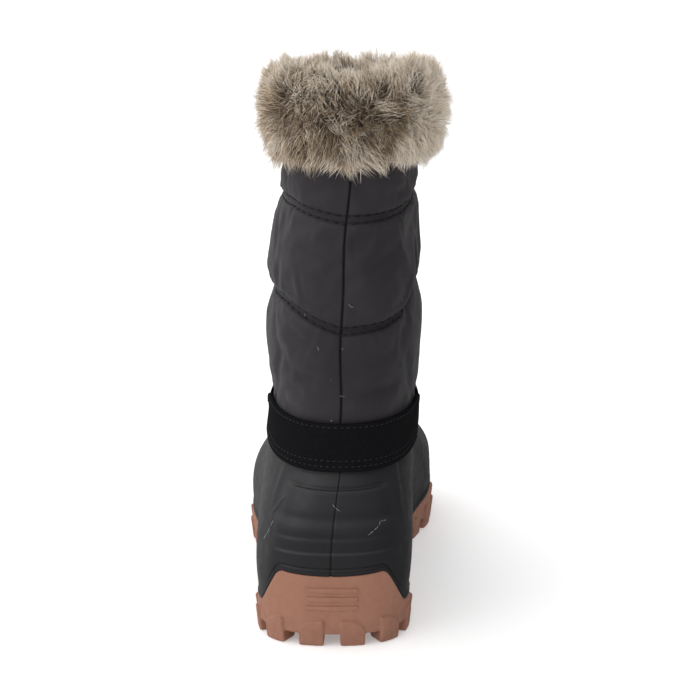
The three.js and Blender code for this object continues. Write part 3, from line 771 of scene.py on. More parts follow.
@dataclass(frozen=True)
class Finish:
    """What every finish has: a name, a base colour and the plain numbers of its shader."""

    name: str
    colour: Colour
    roughness: float = 0.6
    specular: float = 0.5
    sheen: float = 0.0
    sheen_roughness: float = 0.5
    bump: float = 0.3
    bump_depth: float = 0.0002
    # colour of the painted shade that darkens seams, grooves and folds through the 'shade' attribute
    painted_seam_shade: Colour = (0.0025, 0.0025, 0.003)

    def make(self, effects: Effects) -> bpy.types.Material:
        """Builds the material: its plain numbers first, and then its pattern."""
        material = bpy.data.materials.new(self.name)
        material.use_nodes = True
        shader = material.node_tree.nodes["Principled BSDF"]
        shader.inputs["Base Color"].default_value = (*self.colour, 1.0)
        shader.inputs["Roughness"].default_value = self.roughness
        shader.inputs["Specular IOR Level"].default_value = self.specular
        shader.inputs["Sheen Weight"].default_value = self.sheen
        shader.inputs["Sheen Roughness"].default_value = self.sheen_roughness
        self.pattern(Sheet(material.node_tree), shader, effects)
        return material

    def pattern(self, sheet: Sheet, shader: bpy.types.Node, effects: Effects) -> None:
        """Adds what a finish has beyond its plain numbers."""

    def raise_surface(self, sheet: Sheet, shader: bpy.types.Node, height: object) -> None:
        """Feeds a height through a bump to the shader."""
        bump = sheet.add("ShaderNodeBump")
        bump.inputs["Strength"].default_value = self.bump
        bump.inputs["Distance"].default_value = self.bump_depth
        sheet.feed(height, bump.inputs["Height"])
        sheet.link(bump.outputs["Normal"], shader.inputs["Normal"])

    def place(self, sheet: Sheet) -> bpy.types.NodeSocket:
        """Object coordinates."""
        return sheet.add("ShaderNodeTexCoord").outputs["Object"]

    def map(self, sheet: Sheet) -> bpy.types.NodeSocket:
        """The piece's own map, in metres."""
        return sheet.add("ShaderNodeTexCoord").outputs["UV"]

    def with_painted_shade(self, sheet: Sheet, colour: bpy.types.NodeSocket) -> bpy.types.NodeSocket:
        """A colour darkened by painted shade in the piece's seams, grooves and folds, read from its 'shade'
        attribute.
        """
        shade = sheet.add("ShaderNodeAttribute", attribute_name="shade").outputs["Fac"]
        return sheet.blend(shade, colour, self.painted_seam_shade)


@dataclass(frozen=True)
class GumRubber(Finish):
    """Matt gum rubber, a little darker near the ground."""

    low_tone: Colour = (0.16, 0.085, 0.06)
    pale: Colour = (0.4, 0.195, 0.135)

    def pattern(self, sheet: Sheet, shader: bpy.types.Node, effects: Effects) -> None:
        """Adds the pattern."""
        place = self.place(sheet)
        clouds = effects.use(sheet, effects.mottle, Place=place, Scale=28.0)
        height = sheet.add("ShaderNodeSeparateXYZ")
        sheet.link(place, height.inputs[0])
        # The colour darkens towards the ground, mottled by fine clouds.
        near_ground = sheet.spread(height.outputs[2], 0.016, 0.0)
        base = sheet.blend(sheet.math("MULTIPLY", clouds.outputs["Coarse"], 0.22), self.colour, self.pale)
        low_share = sheet.spread(near_ground, 0.0, 1.0, 0.12, 0.38)
        low_mottle = sheet.math("MULTIPLY", clouds.outputs["Fine"], low_share)
        sheet.link(sheet.blend(low_mottle, base, self.low_tone), shader.inputs["Base Color"])
        sheet.link(sheet.spread(clouds.outputs["Fine"], 0.0, 1.0, 0.52, 0.7), shader.inputs["Roughness"])
        self.raise_surface(sheet, shader, sheet.noise(place, 900.0, 4.0))


@dataclass(frozen=True)
class MouldedRubber(Finish):
    """Satin black moulded rubber with faint clouds, pale dust and painted shade in its seam and grooves."""

    dust: Colour = (0.12, 0.12, 0.125)

    def pattern(self, sheet: Sheet, shader: bpy.types.Node, effects: Effects) -> None:
        """Adds the pattern."""
        place = self.place(sheet)
        clouds = effects.use(sheet, effects.mottle, Place=place, Scale=22.0)
        specks = effects.use(sheet, effects.lint, Place=place, Scale=240.0)
        film = sheet.math("MULTIPLY", clouds.outputs["Coarse"], 0.03)
        dusty = sheet.math("ADD", film, sheet.math("MULTIPLY", specks.outputs["Mask"], 0.35))
        coloured = sheet.blend(dusty, self.colour, self.dust)
        # painted shade from the 'shade' attribute darkens the seam and grooves
        sheet.link(self.with_painted_shade(sheet, coloured), shader.inputs["Base Color"])
        sheet.link(sheet.spread(clouds.outputs["Fine"], 0.0, 1.0, 0.4, 0.5), shader.inputs["Roughness"])
        self.raise_surface(sheet, shader, sheet.noise(place, 1400.0, 3.0))


@dataclass(frozen=True)
class QuiltedNylon(Finish):
    """Dark padded nylon with a fine plain weave, soft ripples and pale lint, with a painted highlight on the
    weave and painted shade in its seams and folds.
    """

    # lighter tone of the nylon: the cloudy variation leans towards it at random, and the raised weave
    # crossings take it as a painted highlight
    lit: Colour = (0.036, 0.031, 0.036)
    lint: Colour = (0.3, 0.29, 0.28)
    threads: float = 9000.0

    def pattern(self, sheet: Sheet, shader: bpy.types.Node, effects: Effects) -> None:
        """Adds the pattern."""
        cloth_map = self.map(sheet)
        weave = effects.use(sheet, effects.weave, Map=cloth_map, Threads=self.threads)
        clouds = effects.use(sheet, effects.mottle, Place=self.place(sheet), Scale=30.0)
        specks = effects.use(sheet, effects.lint, Place=self.place(sheet), Scale=170.0)
        base = sheet.blend(sheet.math("MULTIPLY", clouds.outputs["Coarse"], 0.4), self.colour, self.lit)
        # raised weave crossings made lighter: a painted highlight
        woven = sheet.blend(sheet.spread(weave.outputs["Height"], -1.0, 1.0, 0.0, 0.18), base, self.lit)
        dusted = sheet.blend(sheet.math("MULTIPLY", specks.outputs["Mask"], 0.5), woven, self.lint)
        # painted shade from the 'shade' attribute darkens the seams, stitch rows and the side fold
        sheet.link(self.with_painted_shade(sheet, dusted), shader.inputs["Base Color"])
        ripples = sheet.math("MULTIPLY", sheet.noise(self.place(sheet), 160.0, 3.0), 3.0)
        self.raise_surface(sheet, shader, sheet.math("ADD", ripples, weave.outputs["Height"]))


@dataclass(frozen=True)
class NappedFabric(Finish):
    """Short nap: matt, with fine fibres."""

    fibres: float = 1500.0
    pale: Colour = (0.02, 0.02, 0.023)

    def pattern(self, sheet: Sheet, shader: bpy.types.Node, effects: Effects) -> None:
        """Adds the pattern."""
        place = self.place(sheet)
        nap = sheet.noise(place, self.fibres, 5.0)
        specks = effects.use(sheet, effects.lint, Place=place, Scale=230.0)
        base = sheet.blend(sheet.spread(nap, 0.4, 0.7), self.colour, self.pale)
        dusted = sheet.blend(sheet.math("MULTIPLY", specks.outputs["Mask"], 0.25), base, (0.2, 0.2, 0.2))
        sheet.link(dusted, shader.inputs["Base Color"])
        self.raise_surface(sheet, shader, nap)


@dataclass(frozen=True)
class SewingThread(Finish):
    """Twisted thread, shown by a fine slanted bump."""

    def pattern(self, sheet: Sheet, shader: bpy.types.Node, effects: Effects) -> None:
        """Adds the pattern."""
        fibres = sheet.noise(self.place(sheet), 2500.0, 2.0)
        tone = sheet.blend(sheet.spread(fibres, 0.3, 0.7), self.colour, tuple(1.6 * c for c in self.colour))
        sheet.link(tone, shader.inputs["Base Color"])
        self.raise_surface(sheet, shader, fibres)


@dataclass(frozen=True)
class FurPile(Finish):
    """Deep pile: dark at the root and pale at the tip, with a tone of its own for each hair."""

    deep: Colour = (0.12, 0.076, 0.042)
    middle: Colour = (0.35, 0.229, 0.13)
    tip: Colour = (0.8, 0.64, 0.455)
    frost: Colour = (0.98, 0.895, 0.775)

    def pattern(self, sheet: Sheet, shader: bpy.types.Node, effects: Effects) -> None:
        """Adds the pattern."""
        along = sheet.add("ShaderNodeAttribute", attribute_name="along").outputs["Fac"]
        tone = sheet.add("ShaderNodeAttribute", attribute_name="tone").outputs["Fac"]
        first = sheet.blend(sheet.spread(along, 0.0, 0.4), self.colour, self.middle)
        second = sheet.blend(sheet.spread(along, 0.3, 0.9), first, self.tip)
        pale = sheet.blend(sheet.spread(tone, 0.5, 1.0, 0.0, 0.95), second, self.frost)
        dark = sheet.blend(sheet.spread(tone, 0.45, 0.0, 0.0, 0.85), pale, self.deep)
        sheet.link(dark, shader.inputs["Base Color"])


@dataclass(frozen=True)
class FloorFinish(Finish):
    """Plain pale floor that glows a little, so that shadows on it stay soft."""

    glow: float = 0.26

    def pattern(self, sheet: Sheet, shader: bpy.types.Node, effects: Effects) -> None:
        """Adds the pattern."""
        cloud = sheet.noise(self.place(sheet), 2.0, 2.0)
        tone = sheet.blend(cloud, self.colour, tuple(0.98 * c for c in self.colour))
        sheet.link(tone, shader.inputs["Base Color"])
        shader.inputs["Emission Color"].default_value = (1.0, 1.0, 1.0, 1.0)
        shader.inputs["Emission Strength"].default_value = self.glow


@dataclass
class Finishes:
    """All finishes of the boot, made once."""

    effects: Effects = field(default_factory=Effects)

    def __post_init__(self) -> None:
        """Makes the materials."""
        recipes = {
            "sole": GumRubber("Gum rubber", (0.325, 0.148, 0.095), specular=0.35, bump=0.12,
                              bump_depth=0.0001),
            "shell": MouldedRubber("Moulded rubber", (0.0135, 0.013, 0.0155), specular=0.34, bump=0.05,
                                   bump_depth=0.00005),
            "nylon": QuiltedNylon("Quilted nylon", (0.023, 0.0195, 0.0235), roughness=0.6, specular=0.24,
                                  sheen=0.1, sheen_roughness=0.4, bump=0.35, bump_depth=0.00012),
            "band": NappedFabric("Napped band", (0.005, 0.005, 0.006), roughness=0.95, specular=0.04,
                                 bump=0.4, bump_depth=0.0002, pale=(0.009, 0.009, 0.0105)),
            "lining": NappedFabric("Fleece lining", (0.07, 0.065, 0.06), roughness=1.0, specular=0.1,
                                   bump=0.8, bump_depth=0.0008, fibres=420.0, pale=(0.13, 0.12, 0.11)),
            "felt": NappedFabric("Felt insole", (0.055, 0.052, 0.05), roughness=1.0, specular=0.1,
                                 bump=0.6, bump_depth=0.0005, fibres=700.0, pale=(0.1, 0.095, 0.09)),
            "dark_thread": SewingThread("Dark thread", (0.004, 0.004, 0.005), roughness=0.7),
            "grey_thread": SewingThread("Grey thread", (0.022, 0.022, 0.024), roughness=0.7, specular=0.3),
            "pale_thread": SewingThread("Pale thread", (0.4, 0.4, 0.4), roughness=0.6),
            "fur": FurPile("Fur pile", (0.04, 0.026, 0.016), roughness=0.65, specular=0.2, sheen=0.15),
            "ground": NappedFabric("Fur ground", (0.05, 0.034, 0.022), roughness=1.0, specular=0.1,
                                   bump=0.8, bump_depth=0.001, fibres=500.0, pale=(0.12, 0.085, 0.06)),
            "floor": FloorFinish("Pale floor", (0.95, 0.95, 0.95), roughness=0.9, specular=0.1),
        }
        self.made = {key: recipe.make(self.effects) for key, recipe in recipes.items()}

    def dress(self, piece: bpy.types.Object, *keys: str) -> None:
        """Gives a piece its materials."""
        piece.data.materials.clear()
        for key in keys:
            piece.data.materials.append(self.made[key])


# Sub-assemblies


@dataclass
class Outsole:
    """Lugged gum rubber outsole with a dished top, a heel tab and three plain bars on the tab."""

    finishes: Finishes
    lug_width: float = 13.0
    lug_pitch: float = 21.5
    lug_reach: float = 15.0
    lug_draft: float = 4.5
    lug_climb: float = 14.5
    lug_proud: float = 1.9
    lug_stations: int = 7
    lug_sink: float = 1.5
    lug_below_top: float = 3.0
    lug_edge: float = 0.8
    bar_width: float = 9.0
    bar_bend: float = 9.0
    bar_clearance: float = 4.0
    edge: float = 1.5
    arch_bare: tuple[float, float] = (0.32, 0.45)
    bars: tuple[float, ...] = (0.15, 0.24, 0.49, 0.58, 0.67, 0.76, 0.85)
    tab_bar_height: float = 2.4
    tab_bar_proud: float = 0.8
    tab_bar_turn: float = 0.11
    tab_bar_place: float = 0.66
    tab_bar_edge: float = 0.35
    steps: int = 300
    voxel: float = 0.5
    kept_faces: int = 150000

    def body(self) -> bpy.types.Object:
        """The dished body without its tread."""
        turn = even_turns(LAST.edge, self.steps, 0.5)
        x, y = LAST.outline(turn)
        inner = LAST.sole_proud + LAST.shell_wall + LAST.gap
        base = LAST.tread_line(y) + LAST.lug_depth
        top = LAST.sole_top(turn)
        spine = LAST.spine(y)
        rows = [stack(spine + (x - spine) * share, y, base) for share in (0.0, 0.5, 0.94)]
        for inset, height in (
            (self.edge * 0.3, base + self.edge * 0.3),
            (0.0, base + self.edge),
            (0.0, top - self.edge),
            (LAST.sole_proud * 0.3, top - self.edge * 0.3),
            (LAST.sole_proud, top),
            (inner, top),
        ):
            rows.append(stack(*LAST.outline(turn, inset), height))
        bed_x, bed_y = LAST.outline(turn, inner + self.edge / 2)
        bed_spine = LAST.spine(bed_y)
        for share in (1.0, 0.5, 0.0):
            rows.append(stack(bed_spine + (bed_x - bed_spine) * share, bed_y, LAST.footbed_height(bed_y)))
        return ring_body("outsole_rubber", np.stack(rows, axis=1), Wrap.FILLED).piece

    def block(self, stations: Array, edge: float) -> bpy.types.Object:
        """A block along a row of stations of four corners, shaped from a cube primitive.

        Args:
            stations: points by station and corner: outer low, outer high, inner high, inner low.
            edge: width of its soft edges.

        Returns:
            The block with soft edges.
        """
        deselect()
        bpy.ops.mesh.primitive_cube_add(size=2.0)
        block = bpy.context.object
        bpy.ops.object.mode_set(mode="EDIT")
        last = len(stations) - 1
        for cut in range(1, last):
            bpy.ops.mesh.select_all(action="SELECT")
            bpy.ops.mesh.bisect(plane_co=(2 * cut / last - 1, 0, 0), plane_no=(1, 0, 0))
        bpy.ops.object.mode_set(mode="OBJECT")
        corners = {(-1, -1): 0, (-1, 1): 1, (1, 1): 2, (1, -1): 3}
        points = read_points(block)
        placed = [
            stations[int(round((p[0] + 1) / 2 * last))][corners[(int(round(p[1])), int(round(p[2])))]]
            for p in points
        ]
        write_points(block, to_frame(np.array(placed)))
        bpy.ops.object.mode_set(mode="EDIT")
        bpy.ops.mesh.select_all(action="SELECT")
        bpy.ops.mesh.normals_make_consistent(inside=False)
        bpy.ops.mesh.bevel(offset=edge * MM, segments=2, affect="EDGES")
        bpy.ops.object.mode_set(mode="OBJECT")
        return block

    def edge_lug(self, start: float, end: float) -> bpy.types.Object:
        """A lug at the edge of the tread, which climbs the wall most at its end nearer the rear."""
        stations = []
        for t in np.linspace(0, 1, self.lug_stations):
            turn = np.array(start + (end - start) * t)
            low = LAST.tread_line(LAST.outline(turn)[1])
            room = LAST.sole_top(turn) - self.lug_below_top - low
            foot = LAST.lug_depth + self.lug_sink
            climb = foot + (min(self.lug_climb, room) - foot) * (1 - t**2.2) ** 0.7
            stations.append([
                stack(*LAST.outline(turn), low),
                stack(*LAST.outline(turn, -self.lug_proud * (1 - t / 2)), low + climb),
                stack(*LAST.outline(turn, self.lug_reach), low + foot),
                stack(*LAST.outline(turn, self.lug_reach - self.lug_draft), low),
            ])
        return self.block(np.array(stations), self.lug_edge)

    def lug_turns(self, side: Side, first: float) -> list[float]:
        """Turns at even distances along one side of the outline."""
        samples = np.linspace(0, side.value * math.pi, 1441)
        travelled = distances(LAST.edge(samples))
        wanted = np.arange(first, travelled[-1], self.lug_pitch)
        return list(np.interp(wanted, travelled, samples))

    def lugs(self) -> list[bpy.types.Object]:
        """All lugs round the edge, apart from the bare stretch under the arch."""
        made = []
        for side in Side:
            starts = self.lug_turns(side, (self.lug_pitch - self.lug_width) / 2)
            ends = self.lug_turns(side, (self.lug_pitch + self.lug_width) / 2)
            for start, end in zip(starts, ends):
                share = float(LAST.length_share(np.array(end)))
                if not self.arch_bare[0] < share < self.arch_bare[1]:
                    made.append(self.edge_lug(start, end))
        return made

    def bar_reach(self, y: float) -> float:
        """Reach of a tread bar from the centre line that keeps it clear of the lugs."""
        turn = np.array(math.acos(1 - 2 * y / LAST.sole_length))
        middle = float(LAST.spine(np.array(y)))
        clear = (self.lug_reach + self.bar_clearance) / float(LAST.outline_normal(turn)[0])
        return float(LAST.outline(turn)[0]) - middle - clear

    def tread_bars(self) -> list[bpy.types.Object]:
        """Bent bars across the middle of the tread."""
        made = []
        for share in self.bars:
            y = share * LAST.sole_length
            middle = float(LAST.spine(np.array(y)))
            reach = min(self.bar_reach(y), self.bar_reach(y + (self.bar_bend + self.bar_width) / 2))
            low = float(LAST.tread_line(np.array(y)))
            high = low + LAST.lug_depth + self.lug_sink
            stations = []
            for place in (-1, 0, 1):
                x = middle + place * reach
                rear = y - self.bar_width / 2 + self.bar_bend * (abs(place) - 0.5)
                front = rear + self.bar_width
                stations.append([(x, rear, low), (x, rear, high), (x, front, high), (x, front, low)])
            made.append(self.block(np.array(stations), self.lug_edge))
        return made

    def tab_bars(self) -> list[bpy.types.Object]:
        """Three plain raised bars in the middle of the heel tab."""
        made = []
        for step in (-1, 0, 1):
            z = self.tab_bar_place * LAST.heel_tab_height + step * self.tab_bar_height * 2
            stations = []
            for share in (-1, 0, 1):
                turn = np.array(share * self.tab_bar_turn)
                out = LAST.outline(turn, -self.tab_bar_proud)
                back = LAST.outline(turn, LAST.sole_proud)
                low, high = z - self.tab_bar_height / 2, z + self.tab_bar_height / 2
                stations.append([stack(*out, low), stack(*out, high), stack(*back, high), stack(*back, low)])
            made.append(self.block(np.array(stations), self.tab_bar_edge))
        return made

    @staticmethod
    def join(made: list[bpy.types.Object]) -> bpy.types.Object:
        """Joins pieces into the first of them."""
        deselect()
        for piece in made:
            piece.select_set(True)
        bpy.context.view_layer.objects.active = made[0]
        bpy.ops.object.join()
        return made[0]

    def build(self) -> None:
        """Models the outsole and dresses it."""
        rubber = self.join([self.body(), *self.lugs(), *self.tread_bars()])
        apply_modifier(rubber, "REMESH", mode="VOXEL", voxel_size=self.voxel * MM)
        apply_modifier(rubber, "SMOOTH", factor=0.5, iterations=2)
        apply_modifier(rubber, "DECIMATE", ratio=self.kept_faces / (2 * len(rubber.data.polygons)))
        bpy.ops.object.shade_smooth()
        self.finishes.dress(rubber, "sole")
        settle(rubber, "sole_rubber", "outsole")
        bars = self.join(self.tab_bars())
        bars.name = bars.data.name = "heel_tab_bars"
        focus(bars)
        bpy.ops.object.shade_smooth_by_angle(angle=math.radians(40))
        self.finishes.dress(bars, "sole")
        settle(bars, "sole_rubber")


@dataclass
class Shell:
    """Moulded rubber shell: a bead on the sole, a raised heel counter, a centre back seam and a collar."""

    finishes: Finishes
    bead_height: float = 2.2
    bead_proud: float = 0.9
    bead_edge: float = 1.4
    seam_depth: float = 0.55
    seam_width: float = 0.5
    seam_wander: float = 0.5
    counter_reach: tuple[float, float] = (31.0, 43.0)
    side_crease: float = 0.9
    crease_place: float = 47.0
    ledge_height: float = 81.3
    mark_raise: float = 0.55
    mark_width: float = 1.1
    steps: int = 340
    bead_rows: int = 8
    wall_rows: int = 112

    COUNTER = Table(
        ("raise",),
        (
            (43.0, 0.75), (48.8, 0.85), (50.0, 0.05), (52.5, 0.1), (55.5, 0.35), (57.6, 0.0),
            (59.6, 0.45), (62.6, 0.5), (66.5, -0.15), (70.5, 0.45), (76.0, 0.85), (80.2, 0.95),
            (81.3, -0.35), (82.6, 0.0), (90.0, 0.0),
        ),
    )

    MARK = (((-42, 66), (-36, 74)), ((-42, 66), (-38, 56)))

    def relief(self, place: Array, z: Array) -> Array:
        """Moulded relief at places round the heel: a raised panel with soft ribs between two ledges."""
        fade = 1 - smoothstep(*self.counter_reach, np.abs(place))
        panel = self.COUNTER.read("raise", z - 0.6 * (np.abs(place) / 30) ** 2) * fade
        mark = 0.0
        for start, end in self.MARK:
            along = np.array(end, float) - np.array(start, float)
            t = ((place - start[0]) * along[0] + (z - start[1]) * along[1]) / (along @ along)
            t = np.clip(t, 0, 1)
            distance = np.hypot(place - start[0] - t * along[0], z - start[1] - t * along[1])
            mark = np.maximum(mark, self.mark_raise * bell(distance, self.mark_width))
        away = np.abs(place) - self.crease_place - (z - 80) * 0.12
        crease = self.side_crease * bell(away, 3.0) * smoothstep(55, 80, z)
        return panel + mark + crease

    def build(self) -> None:
        """Models the shell and dresses it."""
        turn = even_turns(LAST.edge, self.steps, 0.8)
        round_mm = around(LAST.edge, turn)
        rise = LAST.rim(turn) - LAST.collar_height - LAST.sole_top(turn)
        bead_end = self.bead_height / (3 * LAST.FULLNESS.read("rise", LAST.length_share(turn)) * rise)
        bead_end = bead_end * self.bead_edge
        wall = np.linspace(0, 1, self.wall_rows)[1:]
        shares, reliefs = [], []
        for k in range(self.bead_rows):
            x = k / (self.bead_rows - 1)
            shares.append(bead_end * x)
            arch = math.sqrt(max(1 - (1.5 * x - 0.5) ** 2, 0))
            reliefs.append(np.full(self.steps, self.bead_proud * arch))
        for t in wall:
            share = bead_end + (1 - bead_end) * t
            above = LAST.shell(turn, share)[:, 2]
            shares.append(share)
            reliefs.append(self.relief(round_mm, above) * smoothstep(0, 0.04, t))
        shares, reliefs = np.stack(shares, 1), np.stack(reliefs, 1)
        turns = np.repeat(turn[:, None], shares.shape[1], axis=1)
        outer = LAST.shell(turns, shares)
        outer[:, 0, 2] = LAST.sole_top(turn) + LAST.gap
        collar = [
            LAST.leg(turn, LAST.rim(turn) - LAST.collar_height * (1 - k)) for k in (0.25, 0.5, 0.75, 0.97)
        ]
        fold = [LAST.leg(turn, LAST.rim(turn), -LAST.shell_wall * k) for k in (0.12, 0.5, 0.88)]
        inner = [LAST.leg(turn, LAST.rim(turn) - 0.5, -LAST.shell_wall)]
        inner.append(LAST.leg(turn, LAST.rim(turn) - LAST.collar_height, -LAST.shell_wall))
        for share in (0.92, 0.8, 0.7, 0.58, 0.45, 0.32, 0.2, 0.1, 0.0):
            level = np.full_like(turn, share)
            inner.append(LAST.shell(turn, level) - self.normal(turn, level) * LAST.shell_wall)
        inner[-1][:, 2] = LAST.sole_top(turn) + LAST.gap
        grid = np.concatenate([outer, np.stack(collar + fold + inner, axis=1)], axis=1)
        ring = ring_body("shell_rubber", grid)
        extra = grid.shape[1] - reliefs.shape[1]
        relief = np.concatenate([reliefs, np.zeros((self.steps, extra))], axis=1)
        outside = np.arange(grid.shape[1]) < shares.shape[1] + len(collar)
        wander = round_mm[:, None] + self.seam_wander * np.sin(grid[..., 2] / 19)
        groove = self.seam_depth * bell(wander, self.seam_width) * outside
        ring.displace(relief - groove)
        # Painted shade: darker lines in the groove above the bead, along the upper ledge of the heel counter
        # and in the centre back seam, kept in the 'shade' attribute.
        bead_groove_shade = bell(outer[..., 2] - LAST.sole_top(turn)[:, None] - self.bead_height - 0.4, 0.7)
        on_counter = 1 - smoothstep(*self.counter_reach, np.abs(round_mm))
        ledge = bell(grid[..., 2] - self.ledge_height, 0.5) * on_counter[:, None]
        edge = np.concatenate([bead_groove_shade * 0.5, np.zeros((self.steps, extra))], axis=1)
        dark = np.maximum(np.maximum(0.95 * bell(wander, 0.45), 0.6 * ledge), edge) * outside
        ring.shade(dark)
        self.finishes.dress(ring.piece, "shell", "lining")
        ring.mark(len(outside) - len(inner) - 1, grid.shape[1] - 1, 1)
        settle(ring.piece, "shell_rubber", "shell")

    @staticmethod
    def normal(turn: Array, level: Array) -> Array:
        """Outward direction of the shell's smooth surface."""
        step = LAST.slope_step
        up = LAST.shell(turn, np.minimum(level + step, 1)) - LAST.shell(turn, np.maximum(level - step, 0))
        aside = LAST.shell(turn + step, level) - LAST.shell(turn - step, level)
        return unit(np.cross(aside, up))


@dataclass(frozen=True)
class Crease:
    """A soft fold in the quilting, by its place round the leg, its height and its lie."""

    around: float
    height: float
    lean: float
    length: float
    width: float
    depth: float

    def relief(self, place: Array, z: Array) -> Array:
        """Depth of the fold and its ridge at places on the leg."""
        dx, dz = place - self.around, z - self.height
        angle = math.radians(self.lean)
        along = dx * math.cos(angle) + dz * math.sin(angle)
        across = dz * math.cos(angle) - dx * math.sin(angle)
        trough = bell(across, self.width) - 0.45 * bell(across - 1.6 * self.width, 1.2 * self.width)
        return -self.depth * bell(along, self.length) * trough


@dataclass
class Shaft:
    """Quilted nylon leg with two double-stitched lines, a centre back seam and side seams."""

    finishes: Finishes
    puff: float = 4.4
    side_waist: float = 3.6
    row_gap: float = 3.6
    row_trough: float = 0.8
    row_width: float = 0.7
    seam_depth: float = 1.1
    seam_width: float = 0.55
    valley: float = 0.35
    pucker: float = 0.35
    stitch_length: float = 3.9
    stitch_pitch: float = 5.0
    stitch_thickness: float = 1.0
    stitch_shift: float = 0.012
    stitch_proud: float = 0.2
    gusset_arc: float = 46.0
    gusset_slope: float = 1.35
    steps: int = 400
    dense_reach: float = 3.6
    rows_dense: int = 20
    rows_low: int = 26
    rows_middle: int = 24
    rows_high: int = 20
    trial_steps: int = 190
    trial_rows: int = 64
    trial_frames: int = 20
    trial_pressure: float = 4.0
    trial_slack: float = 0.05
    trial_cap: float = 3.0
    trial_broad: float = 0.15
    trial_share: float = 0.85
    trial_blur: int = 14

    LOWER = Table(("swell",), ((0.0, 0.0), (0.25, 0.5), (0.6, 0.95), (0.86, 0.8), (0.95, 0.5), (1.0, 0.0)))
    MIDDLE = Table(
        ("swell",),
        ((0.0, 0.0), (0.03, 0.45), (0.09, 0.85), (0.25, 1.0), (0.6, 0.75), (0.9, 0.5), (0.97, 0.25),
         (1.0, 0.0)),
    )
    UPPER = Table(("swell",), ((0.0, 0.0), (0.06, 0.32), (0.18, 0.5), (0.45, 0.4), (1.0, 0.0)))
    WAIST = Table(("share",), ((140, 0.0), (175, 0.3), (205, 0.5), (225, 0.75), (240, 1.0), (252, 1.0)))
    CREASES = tuple(Crease(*row) for row in (
        (-26, 160, -28, 16, 3.2, 1.0), (-34, 150, 12, 14, 4.0, 0.8), (22, 150, 35, 12, 3.5, 0.7),
        (48, 178, 62, 13, 3.0, 2.6), (54, 192, 78, 12, 3.4, 1.6), (-48, 205, -70, 14, 3.0, 0.9),
        (-40, 190, 80, 12, 3.0, 0.6), (-14, 200, -35, 12, 4.0, 0.5), (18, 196, 28, 16, 4.5, 0.5),
        (-20, 232, 18, 14, 4.0, 0.6), (26, 230, -14, 14, 4.0, 0.6), (-12, 137, -10, 16, 4.0, 0.5),
        (18, 132, 14, 18, 4.0, 0.7), (-44, 135, 55, 12, 3.0, 1.0), (44, 134, -55, 12, 3.0, 1.0),
        (90, 150, 10, 20, 5.0, 0.9), (-90, 145, -15, 20, 5.0, 0.9), (110, 195, -20, 20, 5.0, 0.8),
        (-115, 200, 25, 20, 5.0, 0.8), (150, 158, 15, 22, 5.0, 1.0), (-150, 215, -15, 22, 5.0, 0.8),
    ))
    CLOTH = {"quality": 6, "mass": 0.2, "tension_stiffness": 12, "compression_stiffness": 8,
             "bending_stiffness": 0.3, "use_pressure": True, "vertex_group_mass": "held"}

    def __post_init__(self) -> None:
        """Starts without a simulated swelling."""
        self.trial: Array | None = None
        self.trial_turn: Array | None = None

    @staticmethod
    def section(turn: Array) -> Array:
        """Path round the leg at its middle height."""
        return LAST.leg(turn, np.full_like(turn, 190.0))

    def swell(self, turn: Array, z: Array) -> Array:
        """Swelling of the quilted sections."""
        bottom = LAST.rim(turn) + LAST.band_above_rim
        lower, upper = LAST.lower_seam(turn), LAST.upper_seam(turn)
        top = LAST.boot_height - LAST.fur_height * 0.76
        low = self.LOWER.read("swell", (z - bottom) / (lower - bottom))
        middle = self.MIDDLE.read("swell", (z - lower) / (upper - lower))
        high = self.UPPER.read("swell", (z - upper) / (top - upper))
        section = np.where(z < lower, low, np.where(z < upper, middle, high))
        swell = self.puff * section * (z < top) * (z > bottom)
        return swell - self.side_waist * np.sin(turn) ** 2 * self.WAIST.read("share", z)

    def puckers(self, place: Array, offset: Array, seed: int) -> Array:
        """Small gathers that run out from a quilting line at uneven places."""
        random = np.random.default_rng(seed)
        total = np.zeros(np.broadcast(place, offset).shape)
        spot = -215.0
        while spot < 215.0:
            spot += 3.0 + 6.5 * random.random()
            slant, depth = 0.5 * random.normal(), self.pucker * (0.2 + random.random() ** 2)
            length, width = 2.5 + 4.5 * random.random(), 0.9 + 0.8 * random.random()
            below = random.random() < 0.65
            side = -offset if below else offset
            across = place - spot - slant * offset
            reach = np.maximum(side - 1.2, 0) / length
            total -= depth * bell(across, width) * reach * np.exp(1 - reach) * (side > 0)
            beside = bell(across - 2.2 * width, 1.3 * width)
            total += 0.5 * depth * beside * reach * np.exp(1 - reach) * (side > 0)
        return total

    def relief(self, turn: Array, z: Array) -> Array:
        """Distance of the cloth outside the leg's section."""
        place = around(self.section, turn)
        relief = self.swell(turn, z) * (1 - self.valley * bell(place, 9.0))
        for seam, seed in ((LAST.lower_seam(turn), 4), (LAST.upper_seam(turn), 21)):
            offset = z - seam
            rows = bell(np.abs(offset) - self.row_gap / 2, self.row_width)
            relief = relief - self.row_trough * rows + 0.35 * bell(offset, 1.0)
            relief = relief + self.puckers(place, offset, seed)
        for crease in self.CREASES:
            relief = relief + crease.relief(place, z)
        relief = relief + 0.25 * np.sin(place / 7 + z / 13) * np.sin(z / 9 - place / 19)
        if self.trial is not None:
            relief = relief + self.settled(turn, z)
        centre = place - self.back_line(z)
        relief = relief - self.seam_depth * bell(centre, self.seam_width)
        relief = relief - 0.6 * self.gusset(place, z)
        low = LAST.rim(turn) + LAST.band_above_rim
        return relief * smoothstep(0, 6, z - low + 4) * (1 - smoothstep(244, 254, z))

    def gusset(self, place: Array, z: Array) -> Array:
        """Share, from 0 to 1, of the slanted side seams that run down into the band."""
        line = self.gusset_arc - (z - 128) * self.gusset_slope
        away = (np.abs(place) - line) / math.hypot(1, self.gusset_slope)
        return bell(away, 2.2) * (1 - smoothstep(136, 146, z))

